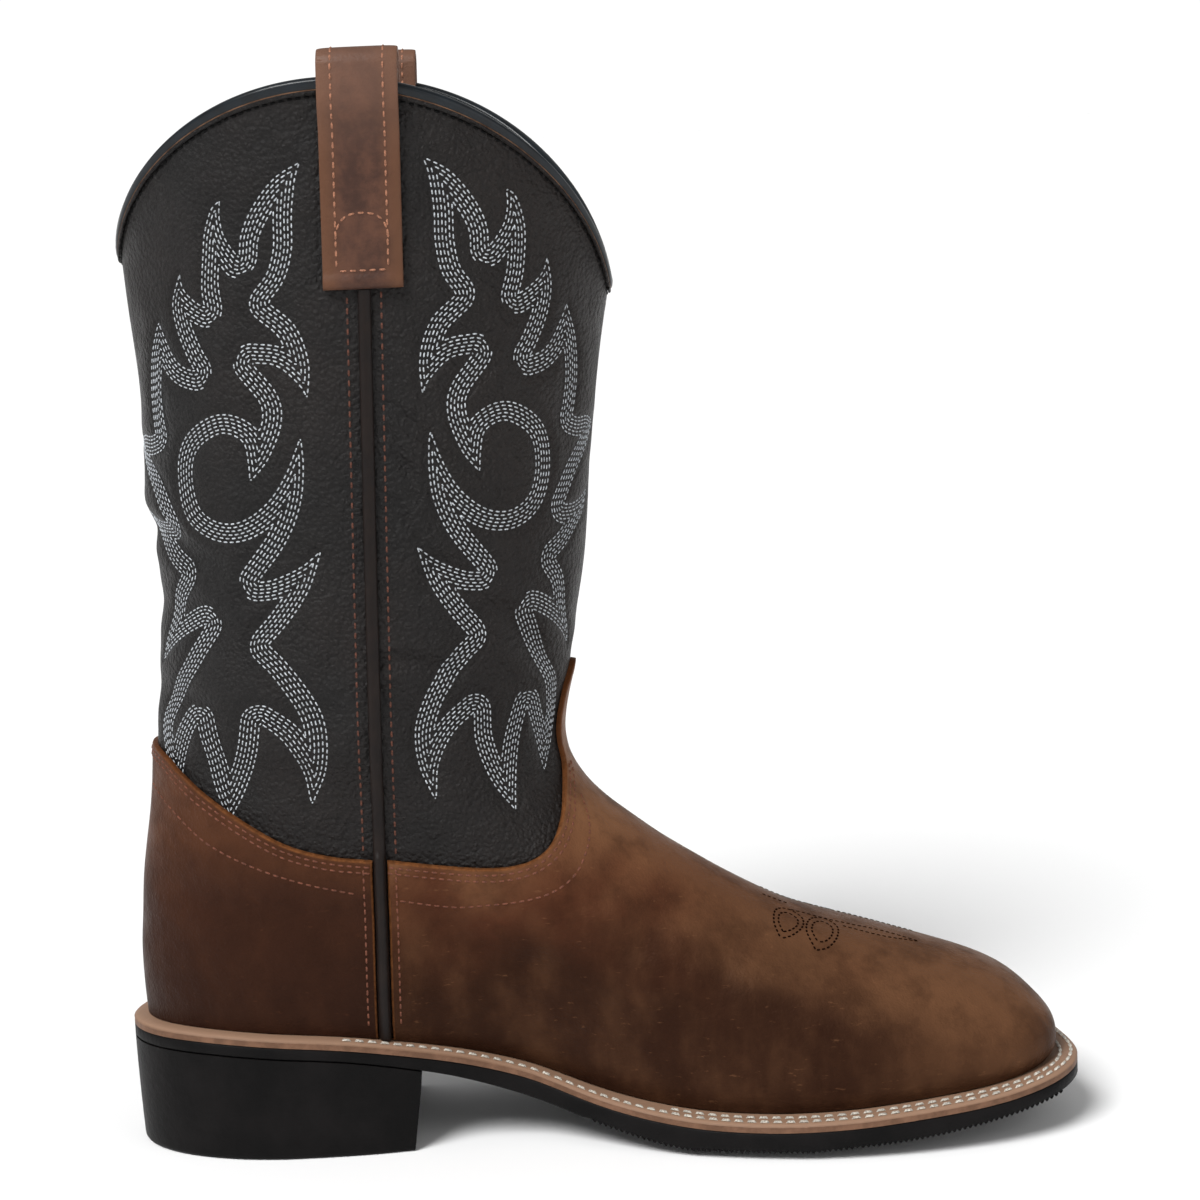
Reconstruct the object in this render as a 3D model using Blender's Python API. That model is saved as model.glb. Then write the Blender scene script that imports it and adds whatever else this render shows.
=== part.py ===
"""Western work boot, left foot, empty and standing on its sole.

Axes while modelling: X runs from the heel's back to the toe, -Y is the inner (medial) side,
+Y the outer (lateral) side, Z is up from the floor. All lengths are in metres.

The whole upper is one surface form(row, turn). A row is a loop round the boot, from the feather
line where the leather meets the welt up to the collar. A turn is the angle round that loop, from 0
at the front over the medial side to pi at the back. Every leather piece is cut from this surface
at a named distance, and the sole takes its outline from its lowest row.
"""
import math

import bpy
import bmesh
import numpy as np

# Sole
SOLE_LENGTH = 0.305
BALL_WIDTH = 0.110
HEEL_WIDTH = 0.0675
SEAT_HEIGHT = 0.0387
BALL_THICKNESS = 0.0088
TOE_SPRING = 0.0099
RUBBER = 0.009
EDGE_LIFT = 0.0026
EDGE_LIFT_WIDTH = 0.014
HEEL_LENGTH = 0.091
HEEL_TAPER = 0.001
HEEL_BREAST_SLANT = 0.003
HEEL_CHAMFER = 0.0015

# Welt and insole
WELT = 0.003
WELT_WIDTH = 0.009
WELT_LIP = 0.0008
WELT_INSIDE = 0.0135
INSOLE = 0.003
SIDE_CLEARANCE = 0.0005

# Upper
WALL = 0.002
INSTEP_HEIGHT = 0.1132
COLLAR_FRONT_HEIGHT = 0.2725
COLLAR_BACK_HEIGHT = 0.2885
COLLAR_RISE = 0.0575
SHAFT_DEPTH = 0.5 * SOLE_LENGTH
SHAFT_WIDTH = 0.104

# Overlays and trim
OVERLAY = 0.0016
GAP = 0.0003
SEAM_TOP = 0.0925
SEAM_LEAN = 0.00605
COUNTER_HEIGHT = 0.131
SEAM_HEIGHT = 0.0975
TONGUE_HEIGHT = 0.153
PIPING_WIDTH = 0.004
PIPING_HEIGHT = 0.0019
BINDING = 0.001
BINDING_DEPTH = 0.0034
STRAP_WIDTH = 0.024
STRAP = 0.0022
STRAP_DROP = 0.0605
STRAP_RISE = 0.0104
STRAP_LEAN = 0.0017
STRAP_SLACK = 0.0008
STRAP_BEND = 0.014
STRAP_HOLD = 0.0025

# Mesh steps: turns round the boot and rows up the upper
TURNS = 56
ROWS = 20
# Rows over which the leather's lowest edge turns square to the welt
FEATHER_ROWS = 0.8

# Foot sections from the feather line to the instep.
# back_x, front_x: shares of the sole length. back_z: share of the rise from the heel seat to the
# collar's back. front_z: share of the rise from the toe to the instep. follow: how far the row
# keeps the sole's curve. heel: share of half the heel width. inner, outer: shares of half the ball
# width. cap_b, cap_f: the rounded ends' shares of the row. square: power of the front end. swing:
# how far the front lies to the outer side, arch: how far the inner side draws in at the waist,
# both shares of half the ball width. lean: how much further the toe reaches on its inner side.
FOOT = (
    # back_x front_x back_z front_z follow heel inner outer cap_b cap_f square swing  arch  lean
    (0.0240, 0.9610, 0.000, 0.000, 1.00, 0.845, 0.836, 0.818, 0.17, 0.42, 3.80, -0.01, 0.190, 0.17),
    (0.0225, 0.9690, 0.040, 0.060, 1.00, 0.895, 0.873, 0.855, 0.17, 0.42, 3.60, -0.01, 0.150, 0.17),
    (0.0225, 0.9640, 0.089, 0.142, 0.75, 0.930, 0.873, 0.864, 0.18, 0.43, 3.00, -0.02, 0.110, 0.15),
    (0.0260, 0.9200, 0.138, 0.264, 0.40, 0.940, 0.800, 0.800, 0.20, 0.50, 2.30, -0.05, 0.070, 0.10),
    (0.0300, 0.8300, 0.187, 0.379, 0.20, 0.948, 0.745, 0.745, 0.23, 0.66, 2.00, -0.08, 0.040, 0.05),
    (0.0354, 0.7130, 0.231, 0.503, 0.10, 0.978, 0.727, 0.709, 0.27, 0.72, 2.00, -0.09, 0.010, 0.00),
    (0.0413, 0.6170, 0.276, 0.672, 0.00, 1.022, 0.736, 0.709, 0.32, 0.72, 2.00, -0.07, 0.000, 0.00),
    (0.0456, 0.5410, 0.320, 0.843, 0.00, 1.081, 0.773, 0.755, 0.38, 0.68, 2.00, -0.04, 0.000, 0.00),
    (0.0489, 0.4915, 0.365, 1.000, 0.00, 1.156, 0.791, 0.782, 0.45, 0.60, 2.00, -0.02, 0.000, 0.00),
)
# Shaft sections from the ankle to the collar.
# back_x, depth: shares of the shaft's depth. back_z: as above. front_z: share of the rise from the
# instep to the collar's front. width: share of half the shaft width. cap_front: as above. scallop:
# share of the collar's rise at the sides.
SHAFT = (
    # back_x depth  back_z front_z width  cap_f scallop
    (0.105, 0.841, 0.413, 0.099, 0.845, 0.52, 0.00),
    (0.117, 0.854, 0.490, 0.250, 0.885, 0.50, 0.00),
    (0.127, 0.884, 0.583, 0.444, 0.915, 0.50, 0.08),
    (0.110, 0.921, 0.689, 0.633, 0.940, 0.50, 0.30),
    (0.108, 0.952, 0.835, 0.846, 0.970, 0.50, 0.64),
    (0.0885, 1.000, 1.000, 1.000, 1.000, 0.50, 1.00),
)
# Sole stations from heel to toe.
# along: share of the sole length. seat: share of the drop from heel seat to ball. spring: share of
# the toe spring. rubber: share of the sole's thickness. lift: share of the edge lift. welt: share
# of the welt's width.
SOLE = (
    # along seat   spring rubber lift welt
    (0.000, 1.000, 0.00, 0.40, 0.0, 0.52),
    (0.083, 1.005, 0.00, 0.40, 0.0, 0.52),
    (0.167, 0.953, 0.00, 0.40, 0.0, 0.52),
    (0.250, 0.863, 0.00, 0.40, 0.0, 0.55),
    (0.333, 0.689, 0.00, 0.48, 0.0, 0.60),
    (0.417, 0.441, 0.00, 0.64, 0.0, 0.75),
    (0.500, 0.171, 0.00, 0.76, 0.3, 0.88),
    (0.583, 0.033, 0.00, 1.05, 0.8, 0.96),
    (0.667, 0.000, 0.00, 1.08, 1.0, 1.00),
    (0.750, 0.000, 0.10, 0.97, 1.0, 1.00),
    (0.833, 0.000, 0.31, 0.96, 1.0, 1.00),
    (0.917, 0.000, 0.58, 0.82, 1.0, 1.00),
    (1.000, 0.000, 1.00, 0.78, 1.0, 1.00),
)
# Overlay edges seen from the side. The counter's edge runs from the back to the seam: x is the
# share of the way to the seam, z the share of the fall from its top to the seam's height.
COUNTER_EDGE = ((-0.3, -0.25), (0.02, 0.00), (0.12, 0.15), (0.23, 0.33), (0.40, 0.57), (0.60, 0.81),
                (0.80, 0.94), (1.00, 1.00))
# The vamp's edge runs from the seam to the tongue: x is the share of the way to the instep's
# front, z the share of the rise from the seam's height to the tongue's top.
VAMP_EDGE = ((0.00, 0.00), (0.22, -0.035), (0.48, -0.066), (0.66, -0.070), (0.80, -0.040),
             (0.90, 0.035), (0.955, 0.160), (0.975, 0.330), (0.995, 0.660), (1.045, 1.00))


def along_rows(rows, at):
    """Rows of a table read at fractional row numbers, on a smooth curve through every row."""
    rows = np.asarray(rows, float)
    at = np.clip(np.asarray(at, float), 0.0, len(rows) - 1.0)
    low = np.minimum(at.astype(int), len(rows) - 2)
    u = (at - low)[..., None]
    slope = np.gradient(rows, axis=0)
    start = (1 + 2 * u) * (1 - u) ** 2 * rows[low] + u * (1 - u) ** 2 * slope[low]
    end = u * u * (3 - 2 * u) * rows[low + 1] + u * u * (u - 1) * slope[low + 1]
    return start + end


def ease(u):
    """Smooth step from 0 to 1."""
    u = np.clip(u, 0.0, 1.0)
    return u * u * (3 - 2 * u)


def sole_station(x):
    """Columns of SOLE at a distance from the heel's back."""
    table = np.asarray(SOLE)
    at = np.interp(np.asarray(x) / SOLE_LENGTH, table[:, 0], np.arange(len(table)))
    return along_rows(table, at)


def sole_top(x):
    """Height of the outsole's upper face: ball, plus heel seat, plus toe spring."""
    row = sole_station(x)
    return BALL_THICKNESS + row[..., 1] * (SEAT_HEIGHT - BALL_THICKNESS) + row[..., 2] * TOE_SPRING


def sole_under(x):
    """Height of the outsole's lower face, which the floor limits."""
    return np.maximum(sole_top(x) - sole_station(x)[..., 3] * RUBBER, 0.0)


def welt_top(x):
    return sole_top(x) + GAP + WELT


def feather(x):
    """Height of the leather's lowest edge, just above the welt."""
    return welt_top(x) + GAP


def metric_rows():
    """Both section tables in metres, one row each: back_x, front_x, back_z, front_z, follow, heel,
    inner, outer, cap_back, cap_front, square, swing, arch, lean, scallop."""
    seat = float(feather(0.02 * SOLE_LENGTH))
    toe = float(feather(0.9665 * SOLE_LENGTH))
    rows = []
    for (back_x, front_x, back_z, front_z, follow, heel, inner, outer,
         cap_b, cap_f, square, swing, arch, lean) in FOOT:
        rows.append((
            back_x * SOLE_LENGTH,
            front_x * SOLE_LENGTH,
            seat + back_z * (COLLAR_BACK_HEIGHT - seat),
            toe + front_z * (INSTEP_HEIGHT - toe),
            follow,
            heel * HEEL_WIDTH / 2,
            inner * BALL_WIDTH / 2,
            outer * BALL_WIDTH / 2,
            cap_b, cap_f, square,
            swing * BALL_WIDTH / 2,
            arch * BALL_WIDTH / 2,
            lean,
            0.0))
    for back_x, depth, back_z, front_z, width, cap_f, scallop in SHAFT:
        rows.append((
            back_x * SHAFT_DEPTH,
            back_x * SHAFT_DEPTH + depth * SHAFT_DEPTH,
            seat + back_z * (COLLAR_BACK_HEIGHT - seat),
            INSTEP_HEIGHT + front_z * (COLLAR_FRONT_HEIGHT - INSTEP_HEIGHT),
            0.0,
            width * SHAFT_WIDTH / 2,
            width * SHAFT_WIDTH / 2,
            width * SHAFT_WIDTH / 2,
            0.5, cap_f, 2.0, 0.0, 0.0, 0.0,
            scallop * COLLAR_RISE))
    return np.array(rows)


SECTIONS = metric_rows()
TOP_ROW = len(SECTIONS) - 1.0
# Roundness of the collar's dips at front and back, and how far forward its peak lies
SCALLOP_LEAN = 1.09
DIP = 0.1


def form(row, turn):
    """Point of the leather surface.

    Along a row the share s goes from the back (0) to the front (1) as (1 + cos turn) / 2. The half
    width there is a belt that eases from heel to ball, on the inner side further forward and drawn
    in at the arch, times a round back end and a superelliptic front end. The height is the straight
    line from back to front, plus the follow share of the sole's own curve, plus the scallop, whose
    peak lies a little in front of the middle.
    """
    row, turn = np.broadcast_arrays(np.asarray(row, float), np.asarray(turn, float))
    (back_x, front_x, back_z, front_z, follow, heel, inner, outer,
     cap_b, cap_f, square, swing, arch, lean, scallop) = np.moveaxis(
         along_rows(SECTIONS, row), -1, 0)
    s = (1 + np.cos(turn)) / 2
    side = np.where(np.sin(turn) >= 0, -1.0, 1.0)
    waist = arch * np.exp(-((s - 0.42) / 0.127) ** 2)
    inner_belt = heel + (inner - heel) * ease((s - 0.40) / 0.40) - waist
    outer_belt = heel + (outer - heel) * ease((s - 0.28) / 0.38)
    from_back = np.clip(1 - s / cap_b, 0, 1)
    from_front = np.clip(1 - (1 - s) / cap_f, 0, 1)
    ends = np.sqrt(1 - from_back ** 2) * np.clip(1 - from_front ** square, 0, 1) ** (1 / square)
    y = swing * s * s + side * np.where(side < 0, inner_belt, outer_belt) * ends
    x = back_x + s * (front_x - back_x) - lean * y * s ** 4
    line = back_z + s * (front_z - back_z)
    chord = feather(back_x) + s * (feather(front_x) - feather(back_x))
    ahead = s ** SCALLOP_LEAN
    arc = np.sqrt(4 * ahead * (1 - ahead) + DIP ** 2) - DIP
    z = line + follow * (feather(x) - chord) + scallop * arc / (math.sqrt(1 + DIP ** 2) - DIP)
    return np.stack([x, y, z], axis=-1)


def skin(row, turn, out):
    """Point at a distance outside the leather surface, along its normal."""
    row, turn = np.broadcast_arrays(np.asarray(row, float), np.asarray(turn, float))
    step = 1e-3
    up = form(np.minimum(row + step, TOP_ROW), turn) - form(np.maximum(row - step, 0), turn)
    around = form(row, turn + step) - form(row, turn - step)
    normal = np.cross(up, around)
    # The lowest edge stands square on the welt and follows it
    free = ease(row / FEATHER_ROWS)
    normal[..., 2] *= free
    normal /= np.linalg.norm(normal, axis=-1, keepdims=True)
    base = form(row, turn)
    point = base + np.asarray(out)[..., None] * normal
    point[..., 2] += (1 - free) * (feather(point[..., 0]) - feather(base[..., 0]))
    return point


def turn_at(row, x, side):
    """Turn of the point of a row that lies at x, on the medial (-1) or lateral (+1) side."""
    columns = along_rows(SECTIONS, row)
    s = np.clip((x - columns[..., 0]) / (columns[..., 1] - columns[..., 0]), 0, 1)
    turn = np.arccos(2 * s - 1)
    return np.where(side < 0, turn, 2 * math.pi - turn)


def row_at(x, z, side):
    """Row of the point of the surface that lies at x and z on one side."""
    rows = np.linspace(0, TOP_ROW, 400)
    found = []
    for x_one, z_one in zip(np.atleast_1d(x), np.atleast_1d(z)):
        heights = form(rows, turn_at(rows, x_one, side))[:, 2]
        found.append(np.interp(z_one, heights, rows))
    return np.array(found)


def seam_x(z):
    """The side seam leans forward as it rises."""
    rise = (np.asarray(z) - SEAM_HEIGHT) / (COLLAR_FRONT_HEIGHT - SEAM_HEIGHT)
    return SEAM_TOP - SEAM_LEAN * (1 - rise)


def clear_scene():
    for item in list(bpy.data.objects):
        bpy.data.objects.remove(item, do_unlink=True)


def finish(name, color, roughness):
    """Principled material with the piece's colour and roughness."""
    material = bpy.data.materials.new(name)
    material.use_nodes = True
    shader = material.node_tree.nodes["Principled BSDF"]
    shader.inputs["Base Color"].default_value = (*color, 1.0)
    shader.inputs["Roughness"].default_value = roughness
    shader.inputs["Metallic"].default_value = 0.0
    return material


def solid(name, points, faces, material, root):
    """Object from points and faces: doubles merged, collapsed faces dropped, faces out."""
    mesh = bpy.data.meshes.new(name)
    mesh.from_pydata([tuple(p) for p in points], [], faces)
    shape = bmesh.new()
    shape.from_mesh(mesh)
    bmesh.ops.remove_doubles(shape, verts=shape.verts, dist=1e-6)
    bmesh.ops.dissolve_degenerate(shape, edges=shape.edges, dist=1e-6)
    bmesh.ops.recalc_face_normals(shape, faces=shape.faces)
    shape.to_mesh(mesh)
    shape.free()
    mesh.shade_smooth()
    mesh.set_sharp_from_angle(angle=math.radians(35))
    item = bpy.data.objects.new(name, mesh)
    bpy.context.scene.collection.objects.link(item)
    if material:
        mesh.materials.append(material)
    item.parent = root
    return item


def loop_faces(rings, turns, close_rings, close_turns):
    """Quads between neighbouring rings of equal length."""
    faces = []
    for a in range(rings if close_rings else rings - 1):
        b = (a + 1) % rings
        for i in range(turns if close_turns else turns - 1):
            j = (i + 1) % turns
            faces.append((a * turns + i, a * turns + j, b * turns + j, b * turns + i))
    return faces


def shell(name, rows, low, high, material, root):
    """Closed wall round the whole boot between two distances from the surface. Every quad is split
    the same way on both faces, so that neighbouring walls stay a constant distance apart."""
    turns = np.linspace(0, 2 * math.pi, TURNS, endpoint=False)
    outside = [skin(row, turns, high) for row in rows]
    inside = [skin(row, turns, low) for row in rows]
    count = len(rows)
    faces = []
    for k in range(count - 1):
        for i in range(TURNS):
            j = (i + 1) % TURNS
            a, b, c, d = k * TURNS + i, k * TURNS + j, (k + 1) * TURNS + j, (k + 1) * TURNS + i
            faces += [(a, b, c), (a, c, d)]
            e, f, g, h = (corner + count * TURNS for corner in (a, b, c, d))
            faces += [(e, g, f), (e, h, g)]
    top = (count - 1) * TURNS
    for i in range(TURNS):
        j = (i + 1) % TURNS
        faces.append((i, count * TURNS + i, count * TURNS + j, j))
        faces.append((top + i, top + j, count * TURNS + top + j, count * TURNS + top + i))
    return solid(name, np.concatenate(outside + inside), faces, material, root)


def prism(name, outline, root):
    """Cutter: a side view outline carried across the whole width."""
    half = BALL_WIDTH
    count = len(outline)
    points = [(x, -half, z) for x, z in outline] + [(x, half, z) for x, z in outline]
    faces = [tuple(range(count)), tuple(range(2 * count - 1, count - 1, -1))]
    for i in range(count):
        j = (i + 1) % count
        faces.append((i, j, count + j, count + i))
    item = solid(name, points, faces, None, root)
    item.hide_render = True
    item.display_type = "WIRE"
    return item


def cut_from(name, cutter, material, root):
    """An overlay: the wall just outside the upper, kept where the cutter is."""
    rows = np.linspace(0, TOP_ROW, ROWS + 1)
    top = int(np.searchsorted(rows, row_at(seam_x(TONGUE_HEIGHT), TONGUE_HEIGHT, -1)[0])) + 3
    item = shell(name, rows[:top], GAP, GAP + OVERLAY, material, root)
    keep = item.modifiers.new("edge", "BOOLEAN")
    keep.operation = "INTERSECT"
    keep.solver = "EXACT"
    keep.object = cutter
    return item


def make_upper(root):
    rows = np.linspace(0, TOP_ROW, ROWS + 1)
    return shell("upper", rows, -WALL, 0.0, finish("shaft leather", (0.045, 0.038, 0.034), 0.6), root)


def seam_line(shift):
    """Side view points along the seam from below the boot to the overlays' top edge."""
    heights = np.linspace(-0.2, 1.0, 5) * SEAM_HEIGHT
    return [(float(seam_x(z)) + shift, float(z)) for z in heights]


def make_vamp(root):
    half_slot = PIPING_WIDTH / 2 + GAP
    start = float(seam_x(SEAM_HEIGHT)) + half_slot
    front = float(SECTIONS[len(FOOT), 1]) + OVERLAY
    edge = [(start + x * (front - start), SEAM_HEIGHT + z * (TONGUE_HEIGHT - SEAM_HEIGHT))
            for x, z in VAMP_EDGE]
    ahead = SOLE_LENGTH + WELT_WIDTH
    outline = seam_line(half_slot)[:-1] + edge
    outline += [(ahead, TONGUE_HEIGHT), (ahead, -0.2 * SEAM_HEIGHT)]
    cutter = prism("vamp_outline", outline, root)
    return cut_from("vamp", cutter, finish("vamp leather", (0.085, 0.042, 0.022), 0.55), root)


def make_counter(root):
    half_slot = PIPING_WIDTH / 2 + GAP
    back = float(SECTIONS[len(FOOT), 0])
    end = float(seam_x(SEAM_HEIGHT)) - half_slot
    edge = [(back + x * (end - back), COUNTER_HEIGHT - z * (COUNTER_HEIGHT - SEAM_HEIGHT))
            for x, z in COUNTER_EDGE]
    outline = [(edge[0][0], -0.2 * SEAM_HEIGHT)] + edge + seam_line(-half_slot)[:-1][::-1]
    cutter = prism("counter_outline", outline, root)
    return cut_from("counter", cutter, finish("counter leather", (0.08, 0.04, 0.021), 0.55), root)


def make_binding(root):
    """Folded strip: a hooked section carried round the collar's edge."""
    turns = np.linspace(0, 2 * math.pi, TURNS, endpoint=False)
    depth_row = TOP_ROW - 0.3
    edge = skin(TOP_ROW, turns, 0.0)
    down = skin(depth_row, turns, 0.0) - edge
    down /= np.linalg.norm(down, axis=-1, keepdims=True)
    out = skin(TOP_ROW, turns, 1.0) - edge
    inner = WALL + GAP
    section = (
        (GAP, BINDING_DEPTH), (GAP + BINDING, BINDING_DEPTH), (GAP + 0.9 * BINDING, -0.5 * BINDING),
        (-WALL / 2, -GAP - 1.4 * BINDING), (-inner - 0.9 * BINDING, -0.5 * BINDING),
        (-inner - BINDING, BINDING_DEPTH), (-inner, BINDING_DEPTH), (-inner, -GAP), (GAP, -GAP))
    rings = [edge + across * out + depth * down for across, depth in section]
    faces = loop_faces(len(rings), TURNS, True, True)
    material = finish("collar binding", (0.012, 0.013, 0.015), 0.3)
    return solid("collar_binding", np.concatenate(rings), faces, material, root)


def make_piping(name, side, root):
    """Half-round cord from under the pull strap down to the welt."""
    top = strap_low(side) - GAP
    step = SEAM_HEIGHT + 2 * OVERLAY
    ends = row_at(seam_x(np.array([SEAM_HEIGHT, step, top])), (SEAM_HEIGHT, step, top), side)
    steps = np.linspace(0, TOP_ROW, ROWS + 1)
    near = np.abs(steps[:, None] - ends).min(axis=1)
    rows = np.sort(np.concatenate([steps[(steps < ends[2]) & (near > 0.15)], ends]))
    heights = form(rows, turn_at(rows, SEAM_TOP, side))[:, 2]
    x = seam_x(heights)
    over = GAP + PIPING_HEIGHT + OVERLAY * ease((step - heights) / (step - SEAM_HEIGHT))
    half = PIPING_WIDTH / 2
    rings = []
    for across, rise in ((-1.0, 0.0), (-0.95, 0.45), (-0.55, 0.85), (0.0, 1.0), (0.55, 0.85),
                         (0.95, 0.45), (1.0, 0.0)):
        turn = turn_at(rows, x + across * half, side)
        rings.append(skin(rows, turn, GAP + rise * (over - GAP)))
    count = len(rows)
    faces = loop_faces(len(rings), count, True, False)
    faces.append(tuple(i * count for i in range(len(rings))))
    faces.append(tuple(i * count + count - 1 for i in reversed(range(len(rings)))))
    material = finish(name, (0.03, 0.016, 0.011), 0.5)
    return solid(name, np.concatenate(rings), faces, material, root)


def strap_x():
    return SEAM_TOP + STRAP_LEAN


def rim_z(side):
    return float(form(TOP_ROW, turn_at(TOP_ROW, strap_x(), side))[2])


def strap_low(side):
    return rim_z(side) - STRAP_DROP


def make_strap(name, side, root):
    """Loop of leather: down the outside, over the collar with a finger gap, down the inside.

    Its path is drawn in two lengths, out from the surface and up from the collar's edge."""
    outer = GAP + STRAP / 2
    inner = -WALL - GAP - STRAP / 2
    over_out = outer + BINDING + GAP + STRAP_SLACK
    over_in = inner - BINDING - GAP - STRAP_SLACK
    middle = (over_out + over_in) / 2
    reach = (over_out - over_in) / 2
    crown = STRAP_RISE - STRAP / 2
    path = [(outer, -STRAP_DROP + u * (STRAP_DROP - STRAP_BEND)) for u in np.linspace(0, 1, 7)]
    path += [((outer + over_out) / 2, -0.7 * STRAP_BEND), (over_out, -0.4 * STRAP_BEND)]
    path.append((over_out, crown - reach))
    for angle in np.radians((30, 60, 90, 120, 150)):
        path.append((middle + reach * math.cos(angle), crown - reach + reach * math.sin(angle)))
    path += [(over_in, crown - reach), (over_in, -0.4 * STRAP_BEND)]
    path.append(((inner + over_in) / 2, -0.7 * STRAP_BEND))
    path += [(inner, -STRAP_BEND - u * (STRAP_DROP - STRAP_BEND)) for u in np.linspace(0, 1, 7)]
    path = np.array(path)
    along = np.gradient(path, axis=0)
    along /= np.linalg.norm(along, axis=1, keepdims=True)
    across = np.stack([along[:, 1], -along[:, 0]], axis=1)
    shares = np.linspace(-0.5, 0.5, 5)
    edge_z = rim_z(side)

    def sheet(offset):
        places = path + offset * across
        grid = []
        for share in shares:
            x = strap_x() + share * STRAP_WIDTH + STRAP_LEAN * places[:, 1] / STRAP_DROP
            base_z = edge_z + np.minimum(places[:, 1], -STRAP_HOLD)
            row = row_at(x, base_z, side)
            point = skin(row, turn_at(row, x, side), places[:, 0])
            point[:, 2] += edge_z + places[:, 1] - base_z
            point[:, 0] = x
            grid.append(point)
        return np.array(grid)

    outside = sheet(STRAP / 2)
    inside = sheet(-STRAP / 2)
    rings = list(outside) + list(inside[::-1])
    count = len(path)
    faces = loop_faces(len(rings), count, True, False)
    last = len(rings) - 1
    for i in range(len(shares) - 1):
        faces.append((i * count, (i + 1) * count, (last - i - 1) * count, (last - i) * count))
        end = count - 1
        faces.append((i * count + end, (last - i) * count + end, (last - i - 1) * count + end,
                      (i + 1) * count + end))
    material = finish(name, (0.15, 0.07, 0.04), 0.5)
    return solid(name, np.concatenate(rings), faces, material, root)


def sole_ring(turns, inset):
    """Plan points of the sole's outline, moved in by a distance: the feather line plus overlay and
    welt width."""
    step = 1e-3
    base = form(0.0, turns)
    around = form(0.0, turns + step) - form(0.0, turns - step)
    out = np.stack([-around[:, 1], around[:, 0]], axis=1)
    out /= np.linalg.norm(out, axis=1, keepdims=True)
    width = sole_station(base[:, 0])[:, 5] * WELT_WIDTH + GAP + OVERLAY
    plan = base[:, :2] + out * (width - inset)[:, None]
    return plan


def slab(name, profile, material, root):
    """Layer of the sole: rings, each from an inset, a height function and its turns, closed by
    strips that run from one side of the sole to the other."""
    rings = []
    for inset, height, turns in profile:
        plan = sole_ring(turns, inset)
        rings.append(np.column_stack([plan, height(plan[:, 0])]))
    count = len(rings[0])
    faces = loop_faces(len(rings), count, False, True)
    for base, flip in ((0, False), ((len(rings) - 1) * count, True)):
        for i in range(count // 2):
            quad = [base + i, base + i + 1, base + count - 2 - i, base + count - 1 - i]
            faces.append(tuple(dict.fromkeys(quad[::-1] if flip else quad)))
    faces = [face for face in faces if len(face) > 2]
    return solid(name, np.concatenate(rings), faces, material, root)


def make_outsole(root):
    def lifted(x):
        return sole_under(x) + sole_station(x)[..., 4] * EDGE_LIFT

    turns = np.linspace(0, 2 * math.pi, TURNS + 1)
    profile = ((EDGE_LIFT_WIDTH, sole_under, turns), (0.0, lifted, turns), (0.0, sole_top, turns))
    return slab("outsole", profile, finish("outsole rubber", (0.011, 0.010, 0.010), 0.55), root)


def make_welt(root):
    """Ring of welt: flat under the leather, its outer lip a little lower."""
    turns = np.linspace(0, 2 * math.pi, TURNS, endpoint=False)
    profile = ((0.0, GAP), (0.0, GAP + WELT - WELT_LIP), (1.5 * WELT_LIP, GAP + WELT),
               (WELT_INSIDE, GAP + WELT), (WELT_INSIDE, GAP))
    rings = []
    for inset, rise in profile:
        plan = sole_ring(turns, inset)
        rings.append(np.column_stack([plan, sole_top(plan[:, 0]) + rise]))
    faces = loop_faces(len(rings), TURNS, True, True)
    return solid("welt", np.concatenate(rings), faces, finish("welt", (0.27, 0.14, 0.08), 0.55), root)


def make_insole(root):
    """Board inside the upper, with a step that fills the welt's opening."""
    turns = np.linspace(0, 2 * math.pi, TURNS + 1)
    welt_here = sole_station(form(0.0, turns)[:, 0])[:, 5] * WELT_WIDTH
    board = welt_here + GAP + OVERLAY + WALL + SIDE_CLEARANCE
    plug = WELT_INSIDE + GAP
    profile = (
        (plug, lambda x: sole_top(x) + GAP, turns),
        (plug, feather, turns),
        (board, feather, turns),
        (board, lambda x: feather(x) + INSOLE, turns))
    return slab("insole", profile, finish("insole", (0.2, 0.13, 0.08), 0.7), root)


def heel_turns(height):
    """Turns of the heel's outline at a height, from the breast round the back to the breast."""
    breast = HEEL_LENGTH + HEEL_BREAST_SLANT * height / SEAT_HEIGHT
    half = np.linspace(float(turn_at(0.0, breast, -1)), math.pi, 15)
    return np.concatenate([half, 2 * math.pi - half[-2::-1]])


def make_heel(root):
    """Block from the outsole down to the floor, straight at its breast."""
    profile = (
        (HEEL_TAPER + HEEL_CHAMFER, lambda x: 0.0 * x, heel_turns(0.0)),
        (HEEL_TAPER, lambda x: 0.0 * x + HEEL_CHAMFER, heel_turns(HEEL_CHAMFER)),
        (0.0, lambda x: sole_under(x) - GAP, heel_turns(SEAT_HEIGHT)))
    return slab("heel", profile, finish("heel rubber", (0.011, 0.010, 0.010), 0.5), root)


def main():
    clear_scene()
    root = bpy.data.objects.new("boot", None)
    bpy.context.scene.collection.objects.link(root)
    make_upper(root)
    make_vamp(root)
    make_counter(root)
    make_binding(root)
    for name, side in (("medial", -1), ("lateral", 1)):
        make_strap("pull_strap_" + name, side, root)
        make_piping("side_piping_" + name, side, root)
    sole = [make_outsole(root), make_welt(root), make_heel(root)]
    make_insole(root)
    # The origin is under the middle of the whole boot, which the sole bounds
    corners = np.array([vertex.co for item in sole for vertex in item.data.vertices])
    middle = (corners.min(axis=0) + corners.max(axis=0)) / 2
    root.location = (-middle[0], -middle[1], 0.0)


main()
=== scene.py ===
"""Western work boot for the left foot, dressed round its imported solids.

All lengths are in metres unless a name says mm. The surfaces are worked out with the heel's back at
x = 0, -y the inner (medial) side and z = 0 the floor, and SHIFT takes them to the part's own frame.
"""
import math

import bmesh
import bpy
import numpy as np
from mathutils import Matrix, Vector


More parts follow.
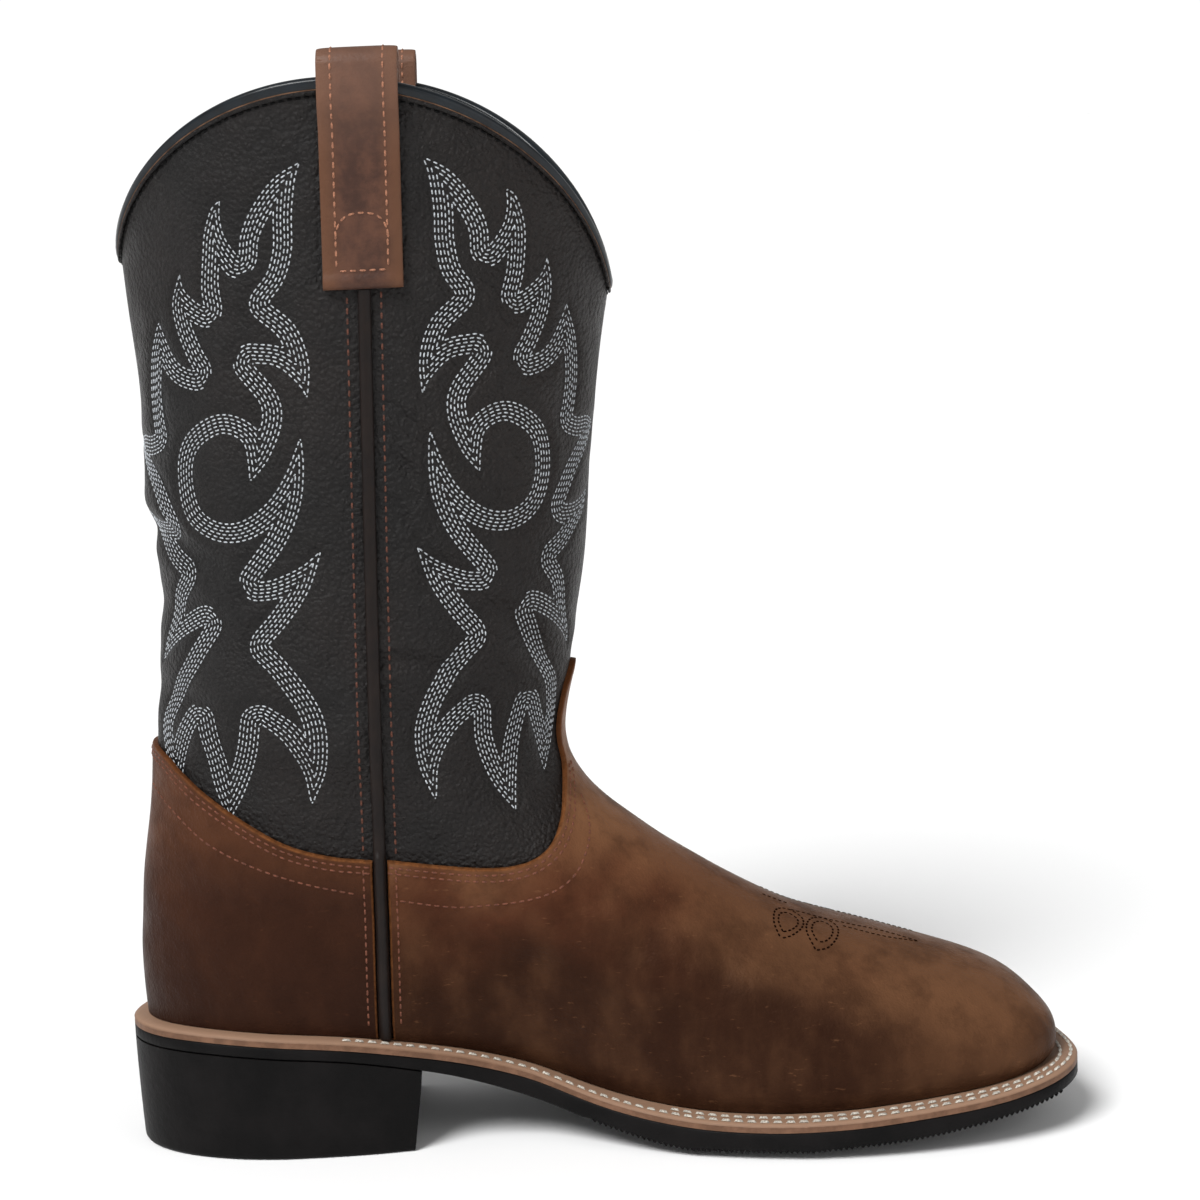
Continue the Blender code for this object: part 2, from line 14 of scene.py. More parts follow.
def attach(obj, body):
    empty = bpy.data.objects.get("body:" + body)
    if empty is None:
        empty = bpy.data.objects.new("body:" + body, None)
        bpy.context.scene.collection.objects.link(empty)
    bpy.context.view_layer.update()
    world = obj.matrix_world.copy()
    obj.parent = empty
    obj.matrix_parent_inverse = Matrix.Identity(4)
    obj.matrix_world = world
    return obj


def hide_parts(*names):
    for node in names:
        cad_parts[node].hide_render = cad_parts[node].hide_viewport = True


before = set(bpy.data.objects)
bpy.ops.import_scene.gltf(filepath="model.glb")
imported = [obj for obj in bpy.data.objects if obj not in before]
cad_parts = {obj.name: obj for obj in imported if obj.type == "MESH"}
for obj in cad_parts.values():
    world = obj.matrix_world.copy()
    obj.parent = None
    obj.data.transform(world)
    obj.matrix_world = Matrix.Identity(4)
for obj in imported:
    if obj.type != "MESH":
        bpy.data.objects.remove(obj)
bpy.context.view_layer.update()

SHIFT = np.array([-0.15347449, 0.00036529, 0.0])
MM = 0.001

# Sole, welt and insole
SOLE_LENGTH = 0.305
BALL_WIDTH = 0.110
HEEL_WIDTH = 0.0675
SEAT_HEIGHT = 0.0387
BALL_THICKNESS = 0.0088
TOE_SPRING = 0.0099
RUBBER = 0.009
EDGE_LIFT = 0.0026
EDGE_LIFT_WIDTH = 0.014
HEEL_LENGTH = 0.091
HEEL_TAPER = 0.001
HEEL_BREAST_SLANT = 0.003
WELT = 0.003
WELT_WIDTH = 0.009
WELT_LIP = 0.0008
WELT_INSIDE = 0.0135

# Upper
WALL = 0.002
INSTEP_HEIGHT = 0.1132
COLLAR_FRONT_HEIGHT = 0.2725
COLLAR_BACK_HEIGHT = 0.2885
COLLAR_RISE = 0.0575
SHAFT_DEPTH = 0.5 * SOLE_LENGTH
SHAFT_WIDTH = 0.104

# Overlays and trim
OVERLAY = 0.0016
GAP = 0.0003
SEAM_TOP = 0.0925
SEAM_LEAN = 0.00605
COUNTER_HEIGHT = 0.131
SEAM_HEIGHT = 0.0975
TONGUE_HEIGHT = 0.153
PIPING_WIDTH = 0.004
PIPING_HEIGHT = 0.0019
BINDING = 0.001
BINDING_DEPTH = 0.0034
STRAP_WIDTH = 0.024
STRAP = 0.0022
STRAP_DROP = 0.0605
STRAP_RISE = 0.0104
STRAP_LEAN = 0.0017
STRAP_SLACK = 0.0008
STRAP_BEND = 0.014
STRAP_HOLD = 0.0025
SCALLOP_LEAN = 1.09
DIP = 0.1
# Rows over which the leather's lowest edge turns square to the welt
FEATHER_ROWS = 0.8

FOOT = (
    # back_x front_x back_z front_z follow heel inner outer cap_b cap_f square swing  arch  lean
    (0.0240, 0.9610, 0.000, 0.000, 1.00, 0.845, 0.836, 0.818, 0.17, 0.42, 3.80, -0.01, 0.190, 0.17),
    (0.0225, 0.9690, 0.040, 0.060, 1.00, 0.895, 0.873, 0.855, 0.17, 0.42, 3.60, -0.01, 0.150, 0.17),
    (0.0225, 0.9640, 0.089, 0.142, 0.75, 0.930, 0.873, 0.864, 0.18, 0.43, 3.00, -0.02, 0.110, 0.15),
    (0.0260, 0.9200, 0.138, 0.264, 0.40, 0.940, 0.800, 0.800, 0.20, 0.50, 2.30, -0.05, 0.070, 0.10),
    (0.0300, 0.8300, 0.187, 0.379, 0.20, 0.948, 0.745, 0.745, 0.23, 0.66, 2.00, -0.08, 0.040, 0.05),
    (0.0354, 0.7130, 0.231, 0.503, 0.10, 0.978, 0.727, 0.709, 0.27, 0.72, 2.00, -0.09, 0.010, 0.00),
    (0.0413, 0.6170, 0.276, 0.672, 0.00, 1.022, 0.736, 0.709, 0.32, 0.72, 2.00, -0.07, 0.000, 0.00),
    (0.0456, 0.5410, 0.320, 0.843, 0.00, 1.081, 0.773, 0.755, 0.38, 0.68, 2.00, -0.04, 0.000, 0.00),
    (0.0489, 0.4915, 0.365, 1.000, 0.00, 1.156, 0.791, 0.782, 0.45, 0.60, 2.00, -0.02, 0.000, 0.00),
)
SHAFT = (
    # back_x depth  back_z front_z width  cap_f scallop
    (0.105, 0.841, 0.413, 0.099, 0.845, 0.52, 0.00),
    (0.117, 0.854, 0.490, 0.250, 0.885, 0.50, 0.00),
    (0.127, 0.884, 0.583, 0.444, 0.915, 0.50, 0.08),
    (0.110, 0.921, 0.689, 0.633, 0.940, 0.50, 0.30),
    (0.108, 0.952, 0.835, 0.846, 0.970, 0.50, 0.64),
    (0.0885, 1.000, 1.000, 1.000, 1.000, 0.50, 1.00),
)
SOLE = (
    # along seat   spring rubber lift welt
    (0.000, 1.000, 0.00, 0.40, 0.0, 0.52),
    (0.083, 1.005, 0.00, 0.40, 0.0, 0.52),
    (0.167, 0.953, 0.00, 0.40, 0.0, 0.52),
    (0.250, 0.863, 0.00, 0.40, 0.0, 0.55),
    (0.333, 0.689, 0.00, 0.48, 0.0, 0.60),
    (0.417, 0.441, 0.00, 0.64, 0.0, 0.75),
    (0.500, 0.171, 0.00, 0.76, 0.3, 0.88),
    (0.583, 0.033, 0.00, 1.05, 0.8, 0.96),
    (0.667, 0.000, 0.00, 1.08, 1.0, 1.00),
    (0.750, 0.000, 0.10, 0.97, 1.0, 1.00),
    (0.833, 0.000, 0.31, 0.96, 1.0, 1.00),
    (0.917, 0.000, 0.58, 0.82, 1.0, 1.00),
    (1.000, 0.000, 1.00, 0.78, 1.0, 1.00),
)
# Overlay edges in the side view, as shares of seam to back or front, and of the rise there
COUNTER_EDGE = ((-0.3, -0.25), (0.02, 0.00), (0.12, 0.15), (0.23, 0.33), (0.40, 0.57), (0.60, 0.81),
                (0.80, 0.94), (1.00, 1.00))
VAMP_EDGE = ((0.00, 0.00), (0.22, -0.035), (0.48, -0.066), (0.66, -0.070), (0.80, -0.040),
             (0.90, 0.035), (0.955, 0.160), (0.975, 0.330), (0.995, 0.660), (1.045, 1.00))

# Flame stitching of one shaft panel, one stroke per line, each from a point of the flame to the
# next: mm across from the side seam, mm above the floor.
FLAME = (
    ((18.4, 314.9), (26.5, 310.3), (33.9, 301.7), (37.8, 293.7)),
    ((38.3, 287.0), (42.0, 291.2), (44.1, 295.1), (44.9, 300.2)),
    ((44.4, 304.5), (47.9, 301.2), (50.7, 292.2), (50.3, 281.1), (49.5, 276.6)),
    ((48.1, 272.2), (52.5, 274.5), (56.3, 277.3), (58.2, 280.0)),
    ((59.0, 282.7), (60.6, 274.1), (59.0, 265.7), (55.0, 257.3)),
    ((52.1, 253.0), (56.9, 254.2), (61.1, 257.4), (66.2, 265.5)),
    ((67.2, 268.0), (71.7, 257.5), (73.3, 245.9), (71.9, 235.8)),
    ((70.9, 232.9), (75.3, 231.7), (82.0, 231.5)),
    ((88.5, 229.0), (81.5, 221.8), (74.5, 215.5), (70.2, 210.0)),
    ((66.8, 205.3), (72.8, 205.0), (79.2, 206.1)),
    ((85.0, 207.9), (80.7, 201.7), (75.2, 197.9), (67.5, 192.0)),
    ((62.4, 189.2), (67.3, 182.4), (70.1, 170.1)),
    ((73.5, 159.9), (67.5, 165.1), (60.7, 170.1), (54.3, 173.6)),
    ((52.2, 174.3), (57.9, 163.5), (65.4, 150.7), (68.0, 139.0), (65.5, 130.0), (61.5, 125.0)),
    ((58.0, 120.5), (57.0, 127.0), (55.5, 133.0), (53.4, 138.6)),
    ((51.8, 142.8), (47.9, 132.0), (45.2, 119.5)),
    ((43.9, 110.9), (36.9, 120.7), (32.3, 133.5)),
    ((31.7, 143.9), (24.0, 137.5), (19.4, 127.8)),
    ((18.1, 116.5), (13.6, 127.7), (12.8, 140.2), (16.5, 151.7), (24.3, 163.0)),
    ((30.3, 168.7), (24.5, 175.8), (18.5, 185.4)),
    ((14.3, 197.7), (20.4, 192.8), (28.7, 189.0)),
    ((34.2, 188.1), (24.9, 200.2), (19.9, 211.6), (18.4, 223.0)),
    ((19.0, 232.9), (23.6, 221.3), (29.2, 213.0), (37.3, 207.2), (45.6, 206.4), (52.3, 210.8),
     (54.7, 219.6), (52.5, 228.7), (43.7, 234.3), (36.5, 231.9), (34.8, 225.5)),
    ((34.5, 219.3), (28.8, 226.4), (24.7, 237.3), (25.9, 246.1)),
    ((33.5, 255.8), (25.5, 254.6), (19.0, 248.6)),
    ((16.9, 244.4), (16.4, 255.6), (20.1, 266.5)),
    ((28.0, 273.7), (23.7, 280.3), (21.8, 289.4), (21.5, 299.5), (20.1, 309.9)),
)
FLAME_ROWS = 6
FLAME_SPACING = 1.12 * MM

# Soft folds in the side view, in mm: x and z of three points, depth, half width
CREASES = (
    # x0    z0    x1    z1    x2    z2   depth width
    (10.0, 203.0, 27.0, 199.0, 40.0, 191.0, 1.2, 4.0),
    (8.0, 214.0, 20.0, 211.0, 34.0, 207.0, -0.6, 5.0),
    (110.0, 190.0, 124.0, 176.0, 142.0, 158.0, 1.4, 4.5),
    (91.0, 162.5, 101.0, 162.0, 113.0, 158.0, 1.0, 2.6),
    (92.0, 151.0, 101.0, 139.0, 104.0, 127.0, 0.9, 4.0),
    (97.0, 243.0, 104.0, 236.0, 113.0, 225.0, 0.60, 1.6),
    (97.5, 234.0, 102.0, 222.0, 104.5, 212.0, 0.55, 1.4),
    (97.5, 212.0, 103.5, 203.0, 108.0, 196.0, 0.55, 1.4),
    (99.0, 226.0, 107.0, 217.0, 113.0, 206.0, 0.45, 1.3),
    (20.0, 178.0, 44.0, 172.0, 66.0, 174.0, 0.7, 5.0),
    (22.0, 150.0, 48.0, 143.0, 74.0, 146.0, 0.8, 5.0),
    (120.0, 82.0, 141.0, 78.0, 160.0, 88.0, 0.75, 5.0),
    (132.0, 62.0, 158.0, 64.0, 176.0, 76.0, 0.70, 5.5),
    (176.0, 40.0, 190.0, 52.0, 196.0, 66.0, 0.50, 5.0),
    (22.0, 88.0, 46.0, 80.0, 74.0, 78.0, 0.55, 6.0),
)


def along_rows(rows, at):
    """Rows of a table read at fractional row numbers: a cubic through every row, whose slope there
    is half the step from the row before to the row after."""
    rows = np.asarray(rows, float)
    at = np.clip(np.asarray(at, float), 0.0, len(rows) - 1.0)
    low = np.minimum(at.astype(int), len(rows) - 2)
    u = (at - low)[..., None]
    slope = np.gradient(rows, axis=0)
    start = (1 + 2 * u) * (1 - u) ** 2 * rows[low] + u * (1 - u) ** 2 * slope[low]
    end = u * u * (3 - 2 * u) * rows[low + 1] + u * u * (u - 1) * slope[low + 1]
    return start + end


def ease(u):
    """Smooth step: three times the square less twice the cube, from 0 to 1."""
    u = np.clip(u, 0.0, 1.0)
    return u * u * (3 - 2 * u)


def sole_station(x):
    """Columns of SOLE at a distance from the heel's back."""
    table = np.asarray(SOLE)
    at = np.interp(np.asarray(x) / SOLE_LENGTH, table[:, 0], np.arange(len(table)))
    return along_rows(table, at)


def sole_top(x):
    """Ball thickness, plus the seat share of the drop, plus the spring share of the toe spring."""
    row = sole_station(x)
    return BALL_THICKNESS + row[..., 1] * (SEAT_HEIGHT - BALL_THICKNESS) + row[..., 2] * TOE_SPRING


def sole_under(x):
    """Sole top less the rubber there, never under the floor."""
    return np.maximum(sole_top(x) - sole_station(x)[..., 3] * RUBBER, 0.0)


def feather(x):
    """Height of the leather's lowest edge: sole top plus welt and two gaps."""
    return sole_top(x) + 2 * GAP + WELT


def metric_rows():
    """Both section tables in metres, in the order that form() unpacks."""
    seat = float(feather(0.02 * SOLE_LENGTH))
    toe = float(feather(0.9665 * SOLE_LENGTH))
    foot = np.array(FOOT)
    half_ball = BALL_WIDTH / 2
    low = np.column_stack([
        foot[:, 0] * SOLE_LENGTH,
        foot[:, 1] * SOLE_LENGTH,
        seat + foot[:, 2] * (COLLAR_BACK_HEIGHT - seat),
        toe + foot[:, 3] * (INSTEP_HEIGHT - toe),
        foot[:, 4],
        foot[:, 5] * HEEL_WIDTH / 2,
        foot[:, 6] * half_ball,
        foot[:, 7] * half_ball,
        foot[:, 8], foot[:, 9], foot[:, 10],
        foot[:, 11] * half_ball,
        foot[:, 12] * half_ball,
        foot[:, 13],
        0 * foot[:, 0]])
    shaft = np.array(SHAFT)
    none = 0 * shaft[:, 0]
    half = shaft[:, 4] * SHAFT_WIDTH / 2
    high = np.column_stack([
        shaft[:, 0] * SHAFT_DEPTH,
        (shaft[:, 0] + shaft[:, 1]) * SHAFT_DEPTH,
        seat + shaft[:, 2] * (COLLAR_BACK_HEIGHT - seat),
        INSTEP_HEIGHT + shaft[:, 3] * (COLLAR_FRONT_HEIGHT - INSTEP_HEIGHT),
        none, half, half, half,
        none + 0.5, shaft[:, 5], none + 2.0, none, none, none,
        shaft[:, 6] * COLLAR_RISE])
    return np.concatenate([low, high])


SECTIONS = metric_rows()
TOP_ROW = len(SECTIONS) - 1.0


def form(row, turn):
    """Point of the leather surface at a row, from the feather line up to the collar, and a turn,
    from 0 at the front over the medial side to pi at the back.

    Along a row the share s goes from back to front as (1 + cos turn) / 2. The half width is a belt
    that eases from heel to ball, times a round back end and a superelliptic front end. The height
    is the line from back to front, plus a share of the sole's curve, plus the scallop's arc."""
    row, turn = np.broadcast_arrays(np.asarray(row, float), np.asarray(turn, float))
    (back_x, front_x, back_z, front_z, follow, heel, inner, outer,
     cap_b, cap_f, square, swing, arch, lean, scallop) = np.moveaxis(
         along_rows(SECTIONS, row), -1, 0)
    s = (1 + np.cos(turn)) / 2
    side = np.where(np.sin(turn) >= 0, -1.0, 1.0)
    waist = arch * np.exp(-((s - 0.42) / 0.127) ** 2)
    inner_belt = heel + (inner - heel) * ease((s - 0.40) / 0.40) - waist
    outer_belt = heel + (outer - heel) * ease((s - 0.28) / 0.38)
    from_back = np.clip(1 - s / cap_b, 0, 1)
    from_front = np.clip(1 - (1 - s) / cap_f, 0, 1)
    ends = np.sqrt(1 - from_back ** 2) * np.clip(1 - from_front ** square, 0, 1) ** (1 / square)
    y = swing * s * s + side * np.where(side < 0, inner_belt, outer_belt) * ends
    x = back_x + s * (front_x - back_x) - lean * y * s ** 4
    line = back_z + s * (front_z - back_z)
    chord = feather(back_x) + s * (feather(front_x) - feather(back_x))
    ahead = s ** SCALLOP_LEAN
    arc = np.sqrt(4 * ahead * (1 - ahead) + DIP ** 2) - DIP
    z = line + follow * (feather(x) - chord) + scallop * arc / (math.sqrt(1 + DIP ** 2) - DIP)
    return np.stack([x, y, z], axis=-1)


def skin(row, turn, out):
    """Point at a distance outside the surface, along its normal, which turns level at the lowest
    edge so that the leather stands square on the welt and follows it."""
    row, turn = np.broadcast_arrays(np.asarray(row, float), np.asarray(turn, float))
    step = 1e-3
    up = form(np.minimum(row + step, TOP_ROW), turn) - form(np.maximum(row - step, 0), turn)
    around = form(row, turn + step) - form(row, turn - step)
    normal = np.cross(up, around)
    free = ease(row / FEATHER_ROWS)
    normal[..., 2] *= free
    normal /= np.linalg.norm(normal, axis=-1, keepdims=True)
    base = form(row, turn)
    point = base + np.asarray(out)[..., None] * normal
    point[..., 2] += (1 - free) * (feather(point[..., 0]) - feather(base[..., 0]))
    return point


def turn_at(row, x, side):
    """Turn of a row's point that lies at x, on the medial (-1) or lateral (+1) side."""
    columns = along_rows(SECTIONS, row)
    s = np.clip((x - columns[..., 0]) / (columns[..., 1] - columns[..., 0]), 0, 1)
    turn = np.arccos(2 * s - 1)
    return np.where(np.asarray(side) < 0, turn, 2 * math.pi - turn)


HALVINGS = 34


def halve(inside, low, high):
    """Last place where a test still holds between two ends, by halving the way again and again."""
    for _ in range(HALVINGS):
        middle = (low + high) / 2
        yes = inside(middle)
        low = np.where(yes, middle, low)
        high = np.where(yes, high, middle)
    return (low + high) / 2


def row_at(x, z, side):
    """Row of the point that lies at x and z on one side."""
    x, z = np.broadcast_arrays(np.asarray(x, float), np.asarray(z, float))
    return halve(lambda row: form(row, turn_at(row, x, side))[..., 2] < z, 0 * z, 0 * z + TOP_ROW)


def row_on(z, turn):
    """Row at which a turn reaches a height."""
    z, turn = np.broadcast_arrays(np.asarray(z, float), np.asarray(turn, float))
    return halve(lambda row: form(row, turn)[..., 2] < z, 0 * z, 0 * z + TOP_ROW)


def seam_x(z):
    """The side seam leans forward as it rises."""
    rise = (np.asarray(z) - SEAM_HEIGHT) / (COLLAR_FRONT_HEIGHT - SEAM_HEIGHT)
    return SEAM_TOP - SEAM_LEAN * (1 - rise)


def seam_turn(row, side, shift):
    """Turn of the side seam, or of a line that runs a distance beside it, on each row."""
    height = form(row, turn_at(row, SEAM_TOP, side))[..., 2]
    return turn_at(row, seam_x(height) + shift, side)


def nearest(points, marks):
    """Distance from each point to the closest of the marks."""
    found = np.full(len(points), np.inf)
    for start in range(0, len(points), 4000):
        part = points[start:start + 4000]
        gap = ((part[:, None, :] - marks[None, :, :]) ** 2).sum(axis=2)
        found[start:start + 4000] = np.sqrt(gap.min(axis=1))
    return found


# Height of the ridge beside a fold as a share of its depth, its place and width in fold widths
RIDGE_SHARE = 0.3
RIDGE_PLACE = 1.9
RIDGE_WIDTH = 0.8
SWELL = 0.16 * MM


def folds(point):
    """Soft troughs with a low ridge on both sides: each takes its depth times exp(-(distance /
    width) squared), with the distance in the side view to a curve through its three points, and a
    low swell lies over the shaft. All fade out below the collar."""
    flat = point.reshape(-1, 3)
    side = flat[:, [0, 2]]
    total = np.zeros(len(flat))
    for x0, z0, x1, z1, x2, z2, depth, width in CREASES:
        curve = along_rows(np.array([(x0, z0), (x1, z1), (x2, z2)]) * MM, np.linspace(0, 2, 40))
        near = nearest(side, curve) / (width * MM)
        ridge = RIDGE_SHARE * np.exp(-((near - RIDGE_PLACE) / RIDGE_WIDTH) ** 2)
        total += depth * MM * (ridge - np.exp(-near ** 2))
    x, y, z = flat.T
    swell = np.sin(z / 0.0071 + 2.2 * np.sin(x / 0.019 + y / 0.03)) * np.sin(x / 0.013 - y / 0.021)
    total += SWELL * swell * ease((z - 0.09) / 0.05)
    total *= 1 - ease((z / (COLLAR_BACK_HEIGHT + COLLAR_RISE) - 0.86) / 0.1)
    return total.reshape(point.shape[:-1])


# One panel of the shaft in flat measure
LEVELS = np.arange(0.100, 0.336, 0.002)
SHARES = np.linspace(0.0, 1.0, 141)


def panel(side, end):
    """One quarter of the shaft, from the side seam to the front or back centre line.

    At each level the turns run evenly from seam to centre, the points lie where they reach that
    level, and the share across is the length along the leather over the panel's width there."""
    row = row_at(seam_x(LEVELS), LEVELS, side)
    seam = turn_at(row, seam_x(LEVELS), side)
    turns = seam[:, None] + SHARES * (end - seam)[:, None]
    points = form(row_on(LEVELS[:, None], turns), turns)
    steps = np.linalg.norm(np.diff(points, axis=1), axis=2)
    along = np.concatenate([np.zeros((len(LEVELS), 1)), np.cumsum(steps, axis=1)], axis=1)
    width = along[:, -1]
    even = np.array([np.interp(SHARES * w, a, t) for w, a, t in zip(width, along, turns)])
    return {"side": side, "end": end, "seam": seam, "width": width,
            "share": along / width[:, None], "turn": even}


PANELS = (panel(-1, 0.0), panel(-1, math.pi), panel(1, math.pi), panel(1, 2 * math.pi))
FRONT_WIDTH = PANELS[0]["width"]


def read_grid(grid, first, second):
    """Value of a grid between its points, weighted by the four nearest."""
    first = np.clip(first, 0, grid.shape[0] - 1.001)
    second = np.clip(second, 0, grid.shape[1] - 1.001)
    i = first.astype(int)
    j = second.astype(int)
    u = first - i
    v = second - j
    low = grid[i, j] * (1 - v) + grid[i, j + 1] * v
    high = grid[i + 1, j] * (1 - v) + grid[i + 1, j + 1] * v
    return low * (1 - u) + high * u


def level_of(z):
    return (z - LEVELS[0]) / (LEVELS[1] - LEVELS[0])


def flame_outline():
    """Closed outline: a smooth curve through each stroke, with its inward normals, and at each
    point of the flame a fan of normals from one stroke's to the next."""
    strokes = [np.array(stroke) * MM for stroke in FLAME]
    places = []
    normals = []
    for k, stroke in enumerate(strokes):
        whole = np.vstack([stroke, strokes[(k + 1) % len(strokes)][:1]])
        curve = along_rows(whole, np.linspace(0, len(whole) - 1, 14 * (len(whole) - 1)))
        along = np.gradient(curve, axis=0)
        along /= np.linalg.norm(along, axis=1, keepdims=True)
        places.append(curve)
        normals.append(np.column_stack([along[:, 1], -along[:, 0]]))
    ring = []
    inward = []
    for k in range(len(places)):
        ring.append(places[k])
        inward.append(normals[k])
        after = normals[(k + 1) % len(places)][0]
        turns = np.linspace(0, 1, 13)[1:-1, None]
        fan = normals[k][-1] * (1 - turns) + after * turns
        fan /= np.linalg.norm(fan, axis=1, keepdims=True)
        ring.append(np.repeat(places[k][-1:], len(fan), axis=0))
        inward.append(fan)
    return np.vstack(ring), np.vstack(inward)


FLAME_RING, FLAME_INWARD = flame_outline()
# Flat map of the distance from the flame's outline, positive inside
MAP_STEP = 0.6 * MM
MAP_ACROSS = np.arange(-0.004, 0.120, MAP_STEP)
MAP_UP = np.arange(0.098, 0.332, MAP_STEP)


def flame_map():
    """Distance to the outline at each place of the map, positive where a line to the right crosses
    the outline an odd number of times."""
    across, up = np.meshgrid(MAP_ACROSS, MAP_UP, indexing="ij")
    places = np.column_stack([across.ravel(), up.ravel()])
    ring = FLAME_RING
    distance = nearest(places, ring)
    after = np.roll(ring, -1, axis=0)
    inside = np.zeros(len(places), bool)
    for start in range(0, len(places), 4000):
        x = places[start:start + 4000, 0, None]
        z = places[start:start + 4000, 1, None]
        spans = (ring[:, 1] > z) != (after[:, 1] > z)
        rise = after[:, 1] - ring[:, 1]
        rise = np.where(rise == 0, 1e-12, rise)
        cross = ring[:, 0] + (z - ring[:, 1]) / rise * (after[:, 0] - ring[:, 0])
        inside[start:start + 4000] = (spans & (cross > x)).sum(axis=1) % 2 == 1
    return np.where(inside, distance, -distance).reshape(across.shape)


FLAME_MAP = flame_map()


def flame_distance(row, turn):
    """Distance inside the flame's outline for points of the shaft, on whichever panel they lie."""
    point = form(row, turn)
    z = point[..., 2]
    level = level_of(z)
    front_width = np.interp(z, LEVELS, FRONT_WIDTH)
    found = np.full(z.shape, -0.05)
    full = np.mod(turn, 2 * math.pi)
    for one in PANELS:
        seam = np.interp(z, LEVELS, one["seam"])
        share = (full - seam) / (one["end"] - seam)
        half = (full <= math.pi) if one["side"] < 0 else (full >= math.pi)
        here = half & (share >= 0) & (share <= 1)
        across = read_grid(one["share"], level, share * (len(SHARES) - 1)) * front_width
        value = read_grid(FLAME_MAP, (across - MAP_ACROSS[0]) / MAP_STEP, (z - MAP_UP[0]) / MAP_STEP)
        found = np.where(here, value, found)
    return np.where(z > MAP_UP[0], found, -0.05)


def quilting(distance):
    """The sewn band lies lower than the padded leather on both sides of it."""
    band = ease((distance + 2.2 * MM) / (2.2 * MM)) * (1 - ease((distance - 6.4 * MM) / (3 * MM)))
    pad = np.exp(-((distance + 5.5 * MM) / (3 * MM)) ** 2)
    heart = ease((distance - 7 * MM) / (4 * MM))
    return (0.14 * pad + 0.12 * heart - 0.5 * band) * MM


def shaft_relief(row, turn):
    return folds(form(row, turn)) + quilting(flame_distance(row, turn))


def overlay_relief(row, turn):
    return GAP + OVERLAY + folds(form(row, turn))


# Meshes


def ring_quads(rings, count, close_rings=False, close_count=True):
    """Quads between neighbouring rings of equal length, as one array."""
    a = np.arange(rings if close_rings else rings - 1)[:, None]
    i = np.arange(count if close_count else count - 1)[None, :]
    b = (a + 1) % rings
    j = (i + 1) % count
    return np.stack([a * count + i, a * count + j, b * count + j, b * count + i], -1).reshape(-1, 4)


def add_piece(name, points, faces, materials, replaces=(), kinds=None, values=None, sharp=40,
              tidy=True):
    """Mesh object in the part's frame from points and arrays of faces, which rides on the boot."""
    mesh = bpy.data.meshes.new(name)
    listed = []
    for group in faces:
        listed += np.asarray(group).tolist()
    mesh.from_pydata((np.asarray(points) + SHIFT).tolist(), [], listed)
    for material in materials:
        mesh.materials.append(material)
    if kinds is not None:
        mesh.polygons.foreach_set("material_index", np.asarray(kinds, np.int32))
    if values is not None:
        for label, data in values.items():
            mesh.attributes.new(label, "FLOAT", "POINT").data.foreach_set("value", data)
    if tidy:
        shape = bmesh.new()
        shape.from_mesh(mesh)
        bmesh.ops.remove_doubles(shape, verts=shape.verts, dist=1e-7)
        bmesh.ops.recalc_face_normals(shape, faces=shape.faces)
        shape.to_mesh(mesh)
        shape.free()
    mesh.shade_smooth()
    mesh.set_sharp_from_angle(angle=math.radians(sharp))
    item = bpy.data.objects.new(name, mesh)
    bpy.context.scene.collection.objects.link(item)
    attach(item, "root")
    if replaces:
        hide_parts(*replaces)


def on_skin(row, turn, out):
    """Points a distance outside the surface, and the directions straight out from it there."""
    point = skin(row, turn, out)
    away = skin(row, turn, np.asarray(out) + MM) - point
    return point, away / np.linalg.norm(away, axis=-1, keepdims=True)


# Stitches in mm
STITCHES = {
    # kind     pitch length width height
    "flame": (2.25, 1.65, 0.44, 0.28),
    "shaft": (3.1, 2.2, 0.6, 0.34),
    "overlay": (2.7, 2.0, 0.6, 0.34),
    "collar": (2.6, 1.9, 0.7, 0.4),
    "welt": (4.1, 3.2, 1.15, 0.75),
    "strap": (2.9, 2.1, 0.62, 0.36),
    "toe": (1.9, 1.45, 0.62, 0.2),
}


def read_run(along, data, at):
    """Columns of data read at lengths along a run."""
    return np.column_stack([np.interp(at, along, column) for column in data.T])


